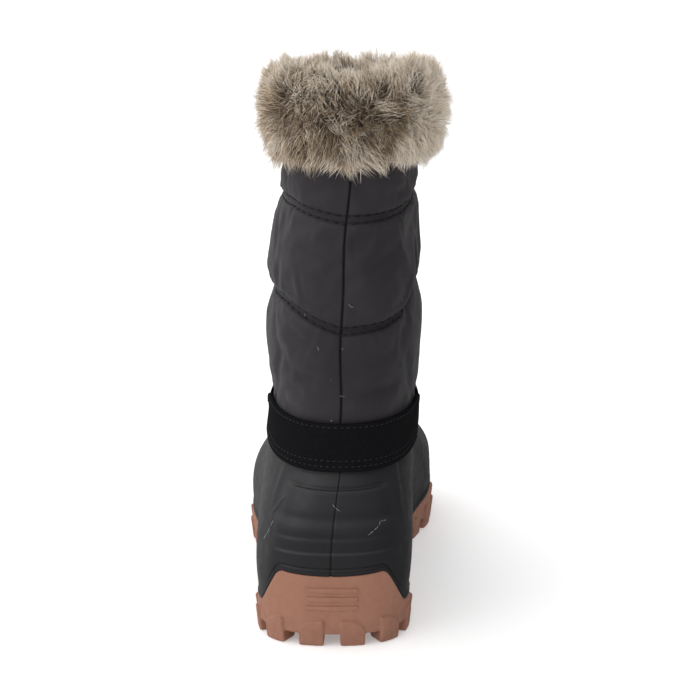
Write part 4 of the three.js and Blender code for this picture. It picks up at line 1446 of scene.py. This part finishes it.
    def settled(self, turn: Array, z: Array) -> Array:
        """The simulated cloth's swelling and puckers, at a turn and a height."""
        turn, z = np.broadcast_arrays(turn, z)
        bottom = LAST.rim(turn) + LAST.gap
        rows, steps = self.trial_rows - 1, self.trial_steps
        row = np.clip((z - bottom) / (LAST.shaft_height - bottom), 0, 1) * rows
        wrapped = np.mod(turn, TAU)
        step = np.interp(wrapped, np.append(self.trial_turn, TAU), np.arange(steps + 1))
        i, j = np.floor(step).astype(int), np.minimum(np.floor(row).astype(int), rows - 1)
        u, v = step - i, row - j
        i, after = i % steps, (i + 1) % steps
        low = self.trial[i, j] * (1 - u) + self.trial[after, j] * u
        high = self.trial[i, j + 1] * (1 - u) + self.trial[after, j + 1] * u
        return low * (1 - v) + high * v

    def simulate(self) -> None:
        """Lets a coarse wall of cloth swell between its stitched lines, and keeps the result."""
        turn = even_turns(self.section, self.trial_steps, 0.0)
        bottom, top = LAST.rim(turn) + LAST.gap, LAST.shaft_height
        shares = np.linspace(0, 1, self.trial_rows)
        heights = bottom[:, None] + (top - bottom)[:, None] * shares[None, :]
        turns = np.repeat(turn[:, None], self.trial_rows, axis=1)
        outer = self.surface(turns, heights)
        back = [LAST.leg(turn, bottom + (top - bottom) * k, -LAST.shaft_wall) for k in (1.0, 0.5, 0.0)]
        inner = np.stack(back, axis=1)
        ring = ring_body("cloth_trial", np.concatenate([outer, inner], axis=1))
        place = around(self.section, turns)
        held = np.zeros(heights.shape)
        for seam in (LAST.lower_seam, LAST.upper_seam):
            held = np.maximum(held, np.abs(heights - seam(turns)) < 0.5 * self.row_gap + 1.2)
        held = np.maximum(held, np.abs(place - self.back_line(heights)) < 1.2)
        held = np.maximum(held, self.gusset(place, heights) > 0.2)
        held = np.maximum(held, (heights > 248) | (heights < LAST.rim(turns) + LAST.band_above_rim + 2))
        pins = np.concatenate([held, np.ones((self.trial_steps, 3))], axis=1)
        group = ring.piece.vertex_groups.new(name="held")
        fixed = np.flatnonzero(pins[ring.turn_of, ring.row_of] > 0.5)
        group.add([int(k) for k in fixed], 1.0, "REPLACE")
        before = read_points(ring.piece)
        focus(ring.piece)
        cloth = ring.piece.modifiers.new("cloth", "CLOTH")
        for name, value in self.CLOTH.items():
            setattr(cloth.settings, name, value)
        cloth.settings.uniform_pressure_force = self.trial_pressure
        cloth.settings.shrink_min = -self.trial_slack
        cloth.settings.effector_weights.gravity = 0
        cloth.collision_settings.use_collision = False
        scene = bpy.context.scene
        cloth.point_cache.frame_start, cloth.point_cache.frame_end = 1, self.trial_frames
        for number in range(1, self.trial_frames + 1):
            scene.frame_set(number)
        bpy.ops.object.modifier_apply(modifier=cloth.name)
        scene.frame_set(1)
        moved = (read_points(ring.piece) - before) / MM
        outward = LAST.leg(turns, heights, 1.0) - LAST.leg(turns, heights, 0.0)
        outward = unit(outward)[ring.turn_of, np.minimum(ring.row_of, self.trial_rows - 1)]
        swell = np.clip(np.sum(moved * outward, axis=-1), -self.trial_cap, self.trial_cap)
        table = np.zeros((self.trial_steps, self.trial_rows + 3))
        table[ring.turn_of, ring.row_of] = swell
        table = table[:, : self.trial_rows]
        broad = table
        for _ in range(self.trial_blur):
            broad = (broad + np.roll(broad, 1, axis=0) + np.roll(broad, -1, axis=0)) / 3
            above, below = np.roll(broad, -1, axis=1), np.roll(broad, 1, axis=1)
            above[:, -1], below[:, 0] = broad[:, -1], broad[:, 0]
            broad = (broad + above + below) / 3
        soft = (2 * table + np.roll(table, 1, axis=0) + np.roll(table, -1, axis=0)) / 4
        self.trial, self.trial_turn = self.trial_share * (soft - (1 - self.trial_broad) * broad), turn
        log.info("cloth trial: swell from %.2f to %.2f mm", swell.min(), swell.max())
        bpy.data.objects.remove(ring.piece)

    @staticmethod
    def back_line(z: Array) -> Array:
        """Wander of the centre back seam from the middle of the rear."""
        return 0.9 * np.sin(z / 31 + 0.6) + 0.35 * np.sin(z / 9)

    def surface(self, turn: Array, z: Array) -> Array:
        """Point of the cloth."""
        return LAST.leg(turn, z, self.relief(turn, z))

    def row_heights(self, turn: Array) -> Array:
        """Heights of the wall's rows, which follow the quilting lines and crowd together beside them."""
        bottom, top = LAST.rim(turn) + LAST.gap, np.full_like(turn, LAST.shaft_height)
        lower, upper = LAST.lower_seam(turn), LAST.upper_seam(turn)
        reach = self.dense_reach
        stretches = (
            (bottom, lower - reach, self.rows_low),
            (lower - reach, lower + reach, self.rows_dense),
            (lower + reach, upper - reach, self.rows_middle),
            (upper - reach, upper + reach, self.rows_dense),
            (upper + reach, top, self.rows_high),
        )
        rows = [bottom[:, None]]
        for start, end, count in stretches:
            shares = np.linspace(0, 1, count + 1)[None, 1:]
            rows.append(start[:, None] + (end - start)[:, None] * shares)
        return np.concatenate(rows, axis=1)

    def cloth(self) -> bpy.types.Object:
        """The quilted wall with its lining."""
        turn = even_turns(self.section, self.steps, 0.72)
        bottom, top = LAST.rim(turn) + LAST.gap, LAST.shaft_height
        heights = self.row_heights(turn)
        count = heights.shape[1]
        turns = np.repeat(turn[:, None], count, axis=1)
        outer = self.surface(turns, heights)
        shares = (1.0, 0.85, 0.7, 0.55, 0.4, 0.25, 0.12, 0.0)
        inner = [LAST.leg(turn, bottom + (top - bottom) * share, -LAST.shaft_wall) for share in shares]
        grid = np.concatenate([outer, np.stack(inner, axis=1)], axis=1)
        ring = ring_body("quilted_shaft", grid)
        place = around(self.section, turns)
        # Painted shade: darker centre back seam, stitch rows and troughs beside the quilting lines, kept in
        # the 'shade' attribute.
        dark = 0.95 * bell(place - self.back_line(heights), 0.5)
        for seam in (LAST.lower_seam(turns), LAST.upper_seam(turns)):
            offset = np.abs(heights - seam)
            dark = np.maximum(dark, 0.45 * bell(offset - self.row_gap / 2, 0.5))
            dark = np.maximum(dark, 0.3 * bell(offset, 2.4))
        degrees = signed_degrees(turns)
        # a dark patch of painted shade where a fold on the inner side lies in shadow
        fold = smoothstep(64, 74, degrees) * (1 - smoothstep(104, 116, degrees)) * bell(heights - 182, 15)
        dark = np.maximum(dark, 0.8 * fold)
        ring.shade(np.concatenate([dark, np.zeros((self.steps, len(inner)))], axis=1))
        self.finishes.dress(ring.piece, "nylon", "lining")
        ring.mark(count - 1, grid.shape[1] - 1, 1)
        return ring.piece

    def stitches(self) -> bpy.types.Object:
        """Dark thread along both rows of both quilting lines."""
        turn = even_turns(self.section, int(girth(self.section) / self.stitch_pitch), 0.0)
        rows = []
        for seam in (LAST.lower_seam, LAST.upper_seam):
            for side in (-1, 1):
                row = lambda t, seam=seam, side=side: self.surface(t, seam(t) + side * self.row_gap / 2)
                rows.append((row, turn + (self.stitch_shift if side > 0 else 0.0)))
        piece = sew("quilting_thread", rows, (self.stitch_length, self.stitch_thickness), self.stitch_proud)
        self.finishes.dress(piece, "dark_thread")
        return piece

    def build(self) -> None:
        """Models the shaft and dresses it."""
        self.simulate()
        cloth = self.cloth()
        settle(cloth, "quilted_nylon", "shaft")
        settle(self.stitches(), "quilted_nylon")


@dataclass
class AnkleBand:
    """Wide napped band sewn over the joint of shell and shaft."""

    finishes: Finishes
    flare: float = 0.8
    front_dip: float = 13.0
    dip_span: tuple[float, float] = (76.0, 95.0)
    steps: int = 320
    rows: int = 22
    top_row: float = 1.9
    low_rows: tuple[float, float] = (2.8, 5.8)
    stitch_length: float = 1.9
    stitch_pitch: float = 3.0
    stitch_thickness: float = 0.42
    stitch_proud: float = 0.08
    edge: float = 0.6

    def outside(self, turn: Array, above: Array) -> Array:
        """Distance of the band's face outside the leg."""
        spread = smoothstep(0, LAST.band_above_rim, above) * self.flare * np.sin(turn) ** 4
        ripple = 0.18 * np.sin(turn * 7 + above / 6) + 0.12 * np.sin(turn * 17 - above / 3)
        rows = sum(bell(above - row, 0.7) for row in self.stitch_heights())
        return LAST.gap + LAST.band_wall + spread + ripple - 0.3 * rows

    def stitch_heights(self) -> tuple[float, ...]:
        """Heights of the three rows above the shell's rim."""
        return (
            LAST.band_above_rim - self.top_row,
            -LAST.band_below_rim + self.low_rows[0],
            -LAST.band_below_rim + self.low_rows[1],
        )

    def level(self, turn: Array, above: Array) -> Array:
        """Height of a place on the band, whose upper edge dips from the sides forward."""
        dip = self.front_dip * smoothstep(*self.dip_span, LAST.degrees(LAST.leg_turn(turn)))
        return LAST.rim(turn) + above - dip * smoothstep(2, LAST.band_above_rim, above)

    def face(self, turn: Array, above: Array) -> Array:
        """Point of the band's face."""
        return LAST.leg(turn, self.level(turn, above), self.outside(turn, above))

    def cloth(self) -> bpy.types.Object:
        """The band with rounded edges."""
        turn = even_turns(LAST.rim_path, self.steps, 0.3)
        low, high = -LAST.band_below_rim, LAST.band_above_rim
        levels = np.linspace(low + self.edge, high - self.edge, self.rows * 2)
        rows = [self.face(turn, np.full_like(turn, level)) for level in levels]
        for share in (0.2, 0.8):
            thick = LAST.band_wall * share
            back = self.outside(turn, np.full_like(turn, high)) - thick
            rows.append(LAST.leg(turn, self.level(turn, high), back))
        for above in (high - self.edge, 0.0, low + self.edge):
            back = self.outside(turn, np.full_like(turn, above)) - LAST.band_wall
            rows.append(LAST.leg(turn, self.level(turn, above), np.maximum(back, LAST.gap)))
        for share in (0.8, 0.2):
            rows.append(LAST.leg(turn, LAST.rim(turn) + low, LAST.gap + LAST.band_wall * (1 - share)))
        piece = ring_body("ankle_band_cloth", np.stack(rows, axis=1)).piece
        self.finishes.dress(piece, "band")
        return piece

    def stitches(self) -> bpy.types.Object:
        """Grey thread in one row near the top edge and two near the bottom one."""
        turn = even_turns(LAST.rim_path, int(girth(LAST.rim_path) / self.stitch_pitch), 0.0)
        rows = [
            (lambda t, level=level: self.face(t, np.full_like(t, level)), turn)
            for level in self.stitch_heights()
        ]
        piece = sew("band_thread", rows, (self.stitch_length, self.stitch_thickness), self.stitch_proud)
        self.finishes.dress(piece, "grey_thread")
        return piece

    def build(self) -> None:
        """Models the band and dresses it."""
        settle(self.cloth(), "band_fabric", "ankle_band")
        settle(self.stitches(), "band_fabric")


@dataclass
class FurCuff:
    """Deep fur cuff: a dark ground that saddles the shaft's edge, and hairs gathered into locks."""

    finishes: Finishes
    depth: float = 11.0
    root_share: float = 0.56
    top_drop: float = 3.4
    low_lift: float = 6.5
    hump: float = 4.2
    rear_lift: float = 3.0
    side_drop: float = 4.0
    guard_locks: int = 1500
    guard_hairs: int = 24
    down_locks: int = 4500
    down_hairs: int = 9
    length: float = 11.5
    gather: float = 0.62
    root_thickness: float = 0.26
    middle_thickness: float = 0.22
    seed: int = 11
    ground_steps: int = 160
    scatter: int = 2000
    mean_radius: float = 52.0
    row_length: float = 7.0
    root_sink: float = 0.6
    hair_spread: float = 0.6
    stray_share: float = 0.05
    stray_spread: float = 1.4
    tone_spread: float = 0.34

    SECTION = Table(
        ("out", "below"),
        (
            (0, 0.4, 0.94), (1, 0.6, 1.0), (2, 0.84, 0.86), (3, 1.02, 0.62), (4, 1.02, 0.35),
            (5, 0.72, 0.12), (6, 0.2, 0.0), (7, -0.32, 0.06), (8, -0.6, 0.22), (9, -0.6, 0.5),
            (10, -0.42, 0.6),
        ),
    )
    SAMPLED = (0.3, 8.9)
    DARK_SPOTS = ((-38, 268, 16), (10, 273, 13), (-12, 262, 10))
    HAIR = (
        (0, 2, 1), (0, 1, 4), (0, 4, 3), (1, 2, 5), (1, 5, 4), (2, 0, 3), (2, 3, 5), (3, 4, 6), (4, 5, 6),
        (5, 3, 6),
    )
    DOWN = ((0, 2, 1), (0, 1, 3), (1, 2, 3), (2, 0, 3))

    @staticmethod
    def section(turn: Array) -> Array:
        """Path round the leg at the cuff's middle height."""
        return LAST.leg(turn, np.full_like(turn, 270.0))

    def humps(self, turn: Array) -> Array:
        """Rise and fall of the cuff round its edge: a lobe on either side of a dip at the rear."""
        place = signed_degrees(turn)
        lobes = bell(place + 40, 24) + 0.85 * bell(place - 48, 26) + 0.4 * bell(np.abs(place) - 150, 25)
        return 1.3 * lobes - 0.75 * bell(place - 4, 11) - 0.35

    def surface(self, turn: Array, along: Array) -> Array:
        """Point of the ground, by turn and by row of its section."""
        out, below = self.SECTION.read("out", along), self.SECTION.read("below", along)
        lump = self.humps(turn)
        sunk = np.where(out > 0, self.root_share + 0.08 * lump, 0.8)
        tilt = self.rear_lift * np.cos(turn) - self.side_drop * np.sin(turn) ** 4
        lift = (tilt + self.hump * lump) * (1 - below)
        top = LAST.boot_height - self.top_drop + lift
        height = top - below * (LAST.fur_height - self.top_drop - self.low_lift)
        return LAST.leg(turn, height, out * self.depth * sunk)

    def normal(self, turn: Array, along: Array) -> Array:
        """Outward direction of the ground."""
        aside = self.surface(turn + 0.02, along) - self.surface(turn - 0.02, along)
        up = self.surface(turn, along + 0.05) - self.surface(turn, along - 0.05)
        return unit(np.cross(aside, up))

    def ground(self) -> bpy.types.Object:
        """The dark backing under the hairs."""
        turn = even_turns(self.section, self.ground_steps, 0.0)
        rows = [self.surface(turn, np.full_like(turn, k)) for k in np.linspace(0, 10, 41)]
        inside, outside = -LAST.shaft_wall - 0.6, 0.6
        hold = LAST.boot_height - LAST.fur_height * 0.8
        for height, out in ((LAST.shaft_height - 10, inside), (LAST.shaft_height + 0.6, inside),
                            (LAST.shaft_height + 0.6, outside), (hold, outside)):
            rows.append(LAST.leg(turn, np.full_like(turn, height), out))
        piece = ring_body("fur_ground", np.stack(rows, axis=1)).piece
        self.finishes.dress(piece, "ground")
        return piece

    def lie(self, turn: Array, along: Array, centre: Array) -> Array:
        """Direction in which the pile lies: up at the top, down at the lower edge, swirled in between."""
        below = self.SECTION.read("below", along)
        inside = smoothstep(6.0, 7.5, along)
        rise = 0.85 - 2.3 * smoothstep(0.12, 0.9, below)
        rise = rise * (1 - inside) + 0.9 * inside
        normal = self.normal(turn, along)
        aside = unit(np.cross(UP, normal))
        swirl = 2.4 * clouds(centre, 17.0, 3.7) + 1.2 * clouds(centre, 8.0, 9.1)
        lift = 1.6 * clouds(centre, 15.0, 21.3)
        upright = np.zeros_like(normal)
        upright[..., 2] = rise + lift
        outward = 0.75 + 0.45 * bell(below - 0.42, 0.2) - 0.35 * smoothstep(0.68, 0.95, below)
        return unit(normal * outward[..., None] + upright + aside * swirl[..., None])

    def build(self) -> None:
        """Models the cuff and dresses it."""
        settle(self.ground(), "faux_fur", "fur_cuff")
        random = np.random.default_rng(self.seed)
        for name, count, hairs, radius, size in (
            ("fur_guard_1", self.guard_locks // 2, self.guard_hairs, 2.3, 1.0),
            ("fur_guard_2", self.guard_locks // 2, self.guard_hairs, 2.3, 1.0),
            ("fur_down", self.down_locks, self.down_hairs, 1.6, 0.72),
        ):
            self.hair_piece(name, random, self.locks(random, count, size), hairs, radius)

    def locks(self, random: np.random.Generator, count: int, size: float) -> tuple[Array, ...]:
        """Scatters locks over the ground.

        Args:
            random: the seeded source of chance.
            count: how many locks are wanted.
            size: their length as a share of the usual one.

        Returns:
            Turn, row of the section, start, end and tone of each lock.
        """
        steps = np.linspace(*self.SAMPLED, 400)
        line = self.surface(np.zeros_like(steps) + 1.2, steps)
        travelled = distances(line)
        grain = np.interp(random.random(count) * travelled[-1], travelled, steps)
        ring = even_turns(self.section, self.scatter, 0.0)
        turn = ring[random.integers(0, len(ring), count)]
        centre, normal = self.surface(turn, grain), self.normal(turn, grain)
        aim = unit(self.lie(turn, grain, centre) + random.normal(size=(count, 3)) * 0.22)
        top = bell(grain - 5.2, 1.4)
        reach = self.length * size * (0.8 + 0.32 * random.random(count)) * (1 - 0.12 * top)
        tip = centre + aim * reach[:, None]
        place = signed_degrees(turn)
        tone = 0.76 + 0.75 * clouds(centre, 12.0, 5.5) + 0.45 * clouds(centre, 5.0, 2.5)
        for spot, height, width in self.DARK_SPOTS:
            tone = tone - 0.62 * bell(place - spot, width) * bell(centre[:, 2] - height, 9.0)
        tone = tone + 1.2 * smoothstep(20, 46, place) + 0.3 * smoothstep(280, 290, centre[:, 2])
        tone = tone + 0.12 * smoothstep(-50, -80, place) + 0.14 * random.normal(size=count)
        return turn, grain, centre, tip, np.clip(tone, 0, 1)

    def hair_piece(self, name: str, random: np.random.Generator, locks: tuple[Array, ...], hairs: int,
                   radius: float) -> None:
        """Hairs of a set of locks, as one piece: bent ones in the long pile and straight ones in the down.

        Args:
            name: the piece's name.
            random: the seeded source of chance.
            locks: turn, row, start, end and tone of each lock.
            hairs: how many hairs a lock has.
            radius: spread of their roots.
        """
        turn, grain, centre, tip, tone = locks
        count = len(turn) * hairs
        lock = np.repeat(np.arange(len(turn)), hairs)
        aside = random.normal(size=count) * radius
        along = random.normal(size=count) * radius
        root_turn = turn[lock] + aside / self.mean_radius
        first, last = self.SAMPLED[0] - 0.3, self.SAMPLED[1] + 0.8
        root_grain = np.clip(grain[lock] + along / self.row_length, first, last)
        normal = self.normal(root_turn, root_grain)
        root = self.surface(root_turn, root_grain) - normal * self.root_sink
        shifted = tip[lock] + (root - centre[lock]) * (1 - self.gather)
        stretch = 0.6 + 0.5 * random.random(count)
        end = root + (shifted - root) * stretch[:, None] + random.normal(size=(count, 3)) * self.hair_spread
        stray = random.random(count) < self.stray_share
        end[stray] += random.normal(size=(int(stray.sum()), 3)) * self.stray_spread
        middle = (root + end) / 2 + normal * (1.0 + random.random(count)[:, None] * 1.2)
        axis = unit(end - root)
        side = unit(np.cross(axis, random.normal(size=(count, 3))))
        other = np.cross(axis, side)
        angles = TAU * np.arange(3) / 3
        cosine, sine = np.cos(angles)[None, :, None], np.sin(angles)[None, :, None]
        ring = side[:, None, :] * cosine + other[:, None, :] * sine
        low = root[:, None, :] + ring * self.root_thickness / 2
        high = middle[:, None, :] + ring * self.middle_thickness / 2
        if name == "fur_down":
            points = np.concatenate([low, end[:, None, :]], axis=1)
            corners, reach = self.DOWN, [0, 0, 0, 0.8]
        else:
            points = np.concatenate([low, high, end[:, None, :]], axis=1)
            corners, reach = self.HAIR, [0, 0, 0, 0.5, 0.5, 0.5, 1.0]
        each, sides = len(reach), len(corners)
        faces = np.array(corners)[None] + (np.arange(count) * each)[:, None, None]
        mesh = bpy.data.meshes.new(name)
        mesh.vertices.add(count * each)
        mesh.vertices.foreach_set("co", to_frame(points.reshape(-1, 3)).astype(np.float32).ravel())
        mesh.loops.add(count * sides * 3)
        mesh.loops.foreach_set("vertex_index", faces.astype(np.int32).ravel())
        mesh.polygons.add(count * sides)
        mesh.polygons.foreach_set("loop_start", np.arange(count * sides, dtype=np.int32) * 3)
        mesh.update(calc_edges=True)
        hair_along = np.tile(np.array(reach, np.float32), count)
        tones = np.clip(tone[lock] + random.normal(size=count) * self.tone_spread, 0, 1)
        for label, values in (("along", hair_along), ("tone", np.repeat(tones, each).astype(np.float32))):
            mesh.attributes.new(label, "FLOAT", "POINT").data.foreach_set("value", values)
        piece = add_piece(name, mesh)
        self.finishes.dress(piece, "fur")
        settle(piece, "faux_fur")


@dataclass
class Lint:
    """A few pale hairs and threads that cling to the nylon and the shell, and a scuff."""

    finishes: Finishes
    thickness: float = 0.13

    ON_SHAFT = (
        ((2.4, 178.0), (3.0, 176.6), (3.9, 176.0), (4.6, 176.3)),
        ((-11.6, 155.6), (-11.1, 154.8), (-10.9, 153.6)),
        ((-9.4, 231.0), (-9.7, 229.3), (-9.3, 227.4)),
        ((-21.0, 171.5), (-20.6, 169.0)),
        ((-1.2, 129.6), (-0.1, 129.3), (0.9, 129.5)),
    )
    ON_SHELL = (
        ((18.5, 0.612), (17.2, 0.6), (15.8, 0.602), (14.6, 0.56), (12.4, 0.52), (10.0, 0.472)),
        ((-0.7, 0.79), (0.0, 0.757), (1.2, 0.728)),
        ((-25.2, 0.66), (-25.6, 0.6), (-28.2, 0.56), (-30.6, 0.52)),
        ((-26.8, 0.585), (-29.4, 0.545)),
    )

    def build(self) -> None:
        """Lays the hairs and dresses them."""
        shaft = Shaft(self.finishes)
        shell = Shell(self.finishes)
        lines = [[shaft.surface(np.radians(t), np.array(z)) for t, z in path] for path in self.ON_SHAFT]
        for path in self.ON_SHELL:
            line = []
            for degrees, share in path:
                turn = np.array(math.radians(degrees))
                point = LAST.shell(turn, np.array(share))
                proud = shell.relief(around(LAST.edge, turn), point[2])
                line.append(point + np.array([*LAST.outline_normal(turn), 0.0]) * proud)
            lines.append(line)
        starts = np.array([a for line in lines for a in line[:-1]])
        ends = np.array([b for line in lines for b in line[1:]])
        outward = np.array([0.0, -1.0, 0.1])
        run = ends - starts
        out = unit(outward - unit(run) * (unit(run) @ outward)[:, None])
        axes = np.stack([run * 1.05, out, np.cross(out, unit(run))], axis=1)
        template = thread_template(1.0, self.thickness)
        piece = copies("clinging_lint", template, to_frame((starts + ends) / 2 + out * 0.25), axes)
        self.finishes.dress(piece, "pale_thread")
        settle(piece, "quilted_nylon")


@dataclass
class Insole:
    """Loose felt insole on the footbed, whose soft edge nearly fills the room that its solid leaves."""

    finishes: Finishes
    steps: int = 220
    edge: float = 0.8
    clearance: float = 0.7

    def build(self) -> None:
        """Models the insole and dresses it."""
        inset = LAST.sole_proud + LAST.shell_wall + self.clearance
        turn = even_turns(LAST.edge, self.steps, 0.0)
        rows = []
        thick = LAST.insole_thickness
        section = (
            (0.0, 0.0, 0.0), (0.5, 0.0, 0.0), (1.0, self.edge, 0.0), (1.0, 0.0, self.edge),
            (1.0, 0.0, thick - self.edge), (1.0, self.edge, thick), (0.5, 0.0, thick), (0.0, 0.0, thick),
        )
        for share, extra, above in section:
            x, y = LAST.outline(turn, inset + extra)
            spine = LAST.spine(y)
            rows.append(stack(spine + (x - spine) * share, y, LAST.footbed_height(y) + LAST.gap + above))
        piece = ring_body("felt_insole", np.stack(rows, axis=1), Wrap.FILLED).piece
        self.finishes.dress(piece, "felt")
        settle(piece, "insole_felt", "insole")


@dataclass
class Studio:
    """Plain pale floor, soft light and the camera at the photograph's viewing angle."""

    finishes: Finishes
    camera_place: tuple[float, float, float] = (0.0167, -1.1016, 0.383)
    camera_yaw: float = 0.78
    camera_pitch: float = -13.3
    lens: float = 102.86
    sensor: float = 36.0
    floor_size: float = 60.0
    sky_low: float = 0.42
    sky_high: float = 1.75
    left_share: float = 1.3
    right_share: float = 0.3
    key_power: float = 3.0
    key_size: float = 0.8
    key_place: tuple[float, float, float] = (-1.3, -1.2, 0.9)
    key_aim: tuple[float, float, float] = (0.0, -0.05, 0.14)

    def light(self) -> None:
        """Adds a square soft light that faces the boot."""
        deselect()
        bpy.ops.object.light_add(type="AREA", location=self.key_place)
        lamp = bpy.context.object
        lamp.name = "key"
        lamp.data.size = self.key_size
        lamp.data.energy = self.key_power
        aim = Vector(self.key_aim) - Vector(self.key_place)
        lamp.rotation_euler = aim.to_track_quat("-Z", "Y").to_euler()

    def sky(self) -> None:
        """A room that looks plain white, and whose light falls mostly from above and the left."""
        world = bpy.data.worlds.new("Pale room")
        bpy.context.scene.world = world
        world.use_nodes = True
        sheet = Sheet(world.node_tree)
        background = world.node_tree.nodes["Background"]
        split = sheet.add("ShaderNodeSeparateXYZ")
        sheet.link(sheet.add("ShaderNodeTexCoord").outputs["Generated"], split.inputs[0])
        height = sheet.spread(split.outputs[2], 0.0, 1.0, self.sky_low, self.sky_high)
        side = sheet.spread(split.outputs[0], -0.8, 0.8, self.left_share, self.right_share)
        seen = sheet.add("ShaderNodeLightPath").outputs["Is Camera Ray"]
        lit = sheet.math("MULTIPLY", sheet.math("MULTIPLY", height, side), sheet.math("SUBTRACT", 1.0, seen))
        sheet.link(sheet.math("ADD", lit, seen), background.inputs["Strength"])
        background.inputs["Color"].default_value = (1, 1, 1, 1)

    def build(self) -> None:
        """Sets up floor, light and camera."""
        deselect()
        bpy.ops.mesh.primitive_plane_add(size=self.floor_size, location=(0, 0, 0))
        floor = bpy.context.object
        floor.name = "floor"
        floor.visible_glossy = False
        self.finishes.dress(floor, "floor")
        self.sky()
        self.light()
        bpy.context.scene.view_settings.view_transform = "Standard"
        bpy.ops.object.camera_add(location=self.camera_place)
        camera = bpy.context.object
        pitch, yaw = math.radians(90 + self.camera_pitch), math.radians(self.camera_yaw)
        camera.rotation_euler = Euler((pitch, 0, yaw))
        camera.data.lens = self.lens
        camera.data.sensor_width = self.sensor
        bpy.context.scene.camera = camera


def main() -> None:
    """Builds the boot and its studio."""
    logging.basicConfig(level=logging.INFO, format="%(name)s: %(message)s")
    finishes = Finishes()
    for part in (Outsole, Shell, Insole, Shaft, AnkleBand, FurCuff, Lint, Studio):
        part(finishes).build()
        log.info("%s done", part.__name__)


if __name__ == "__main__":
    main()
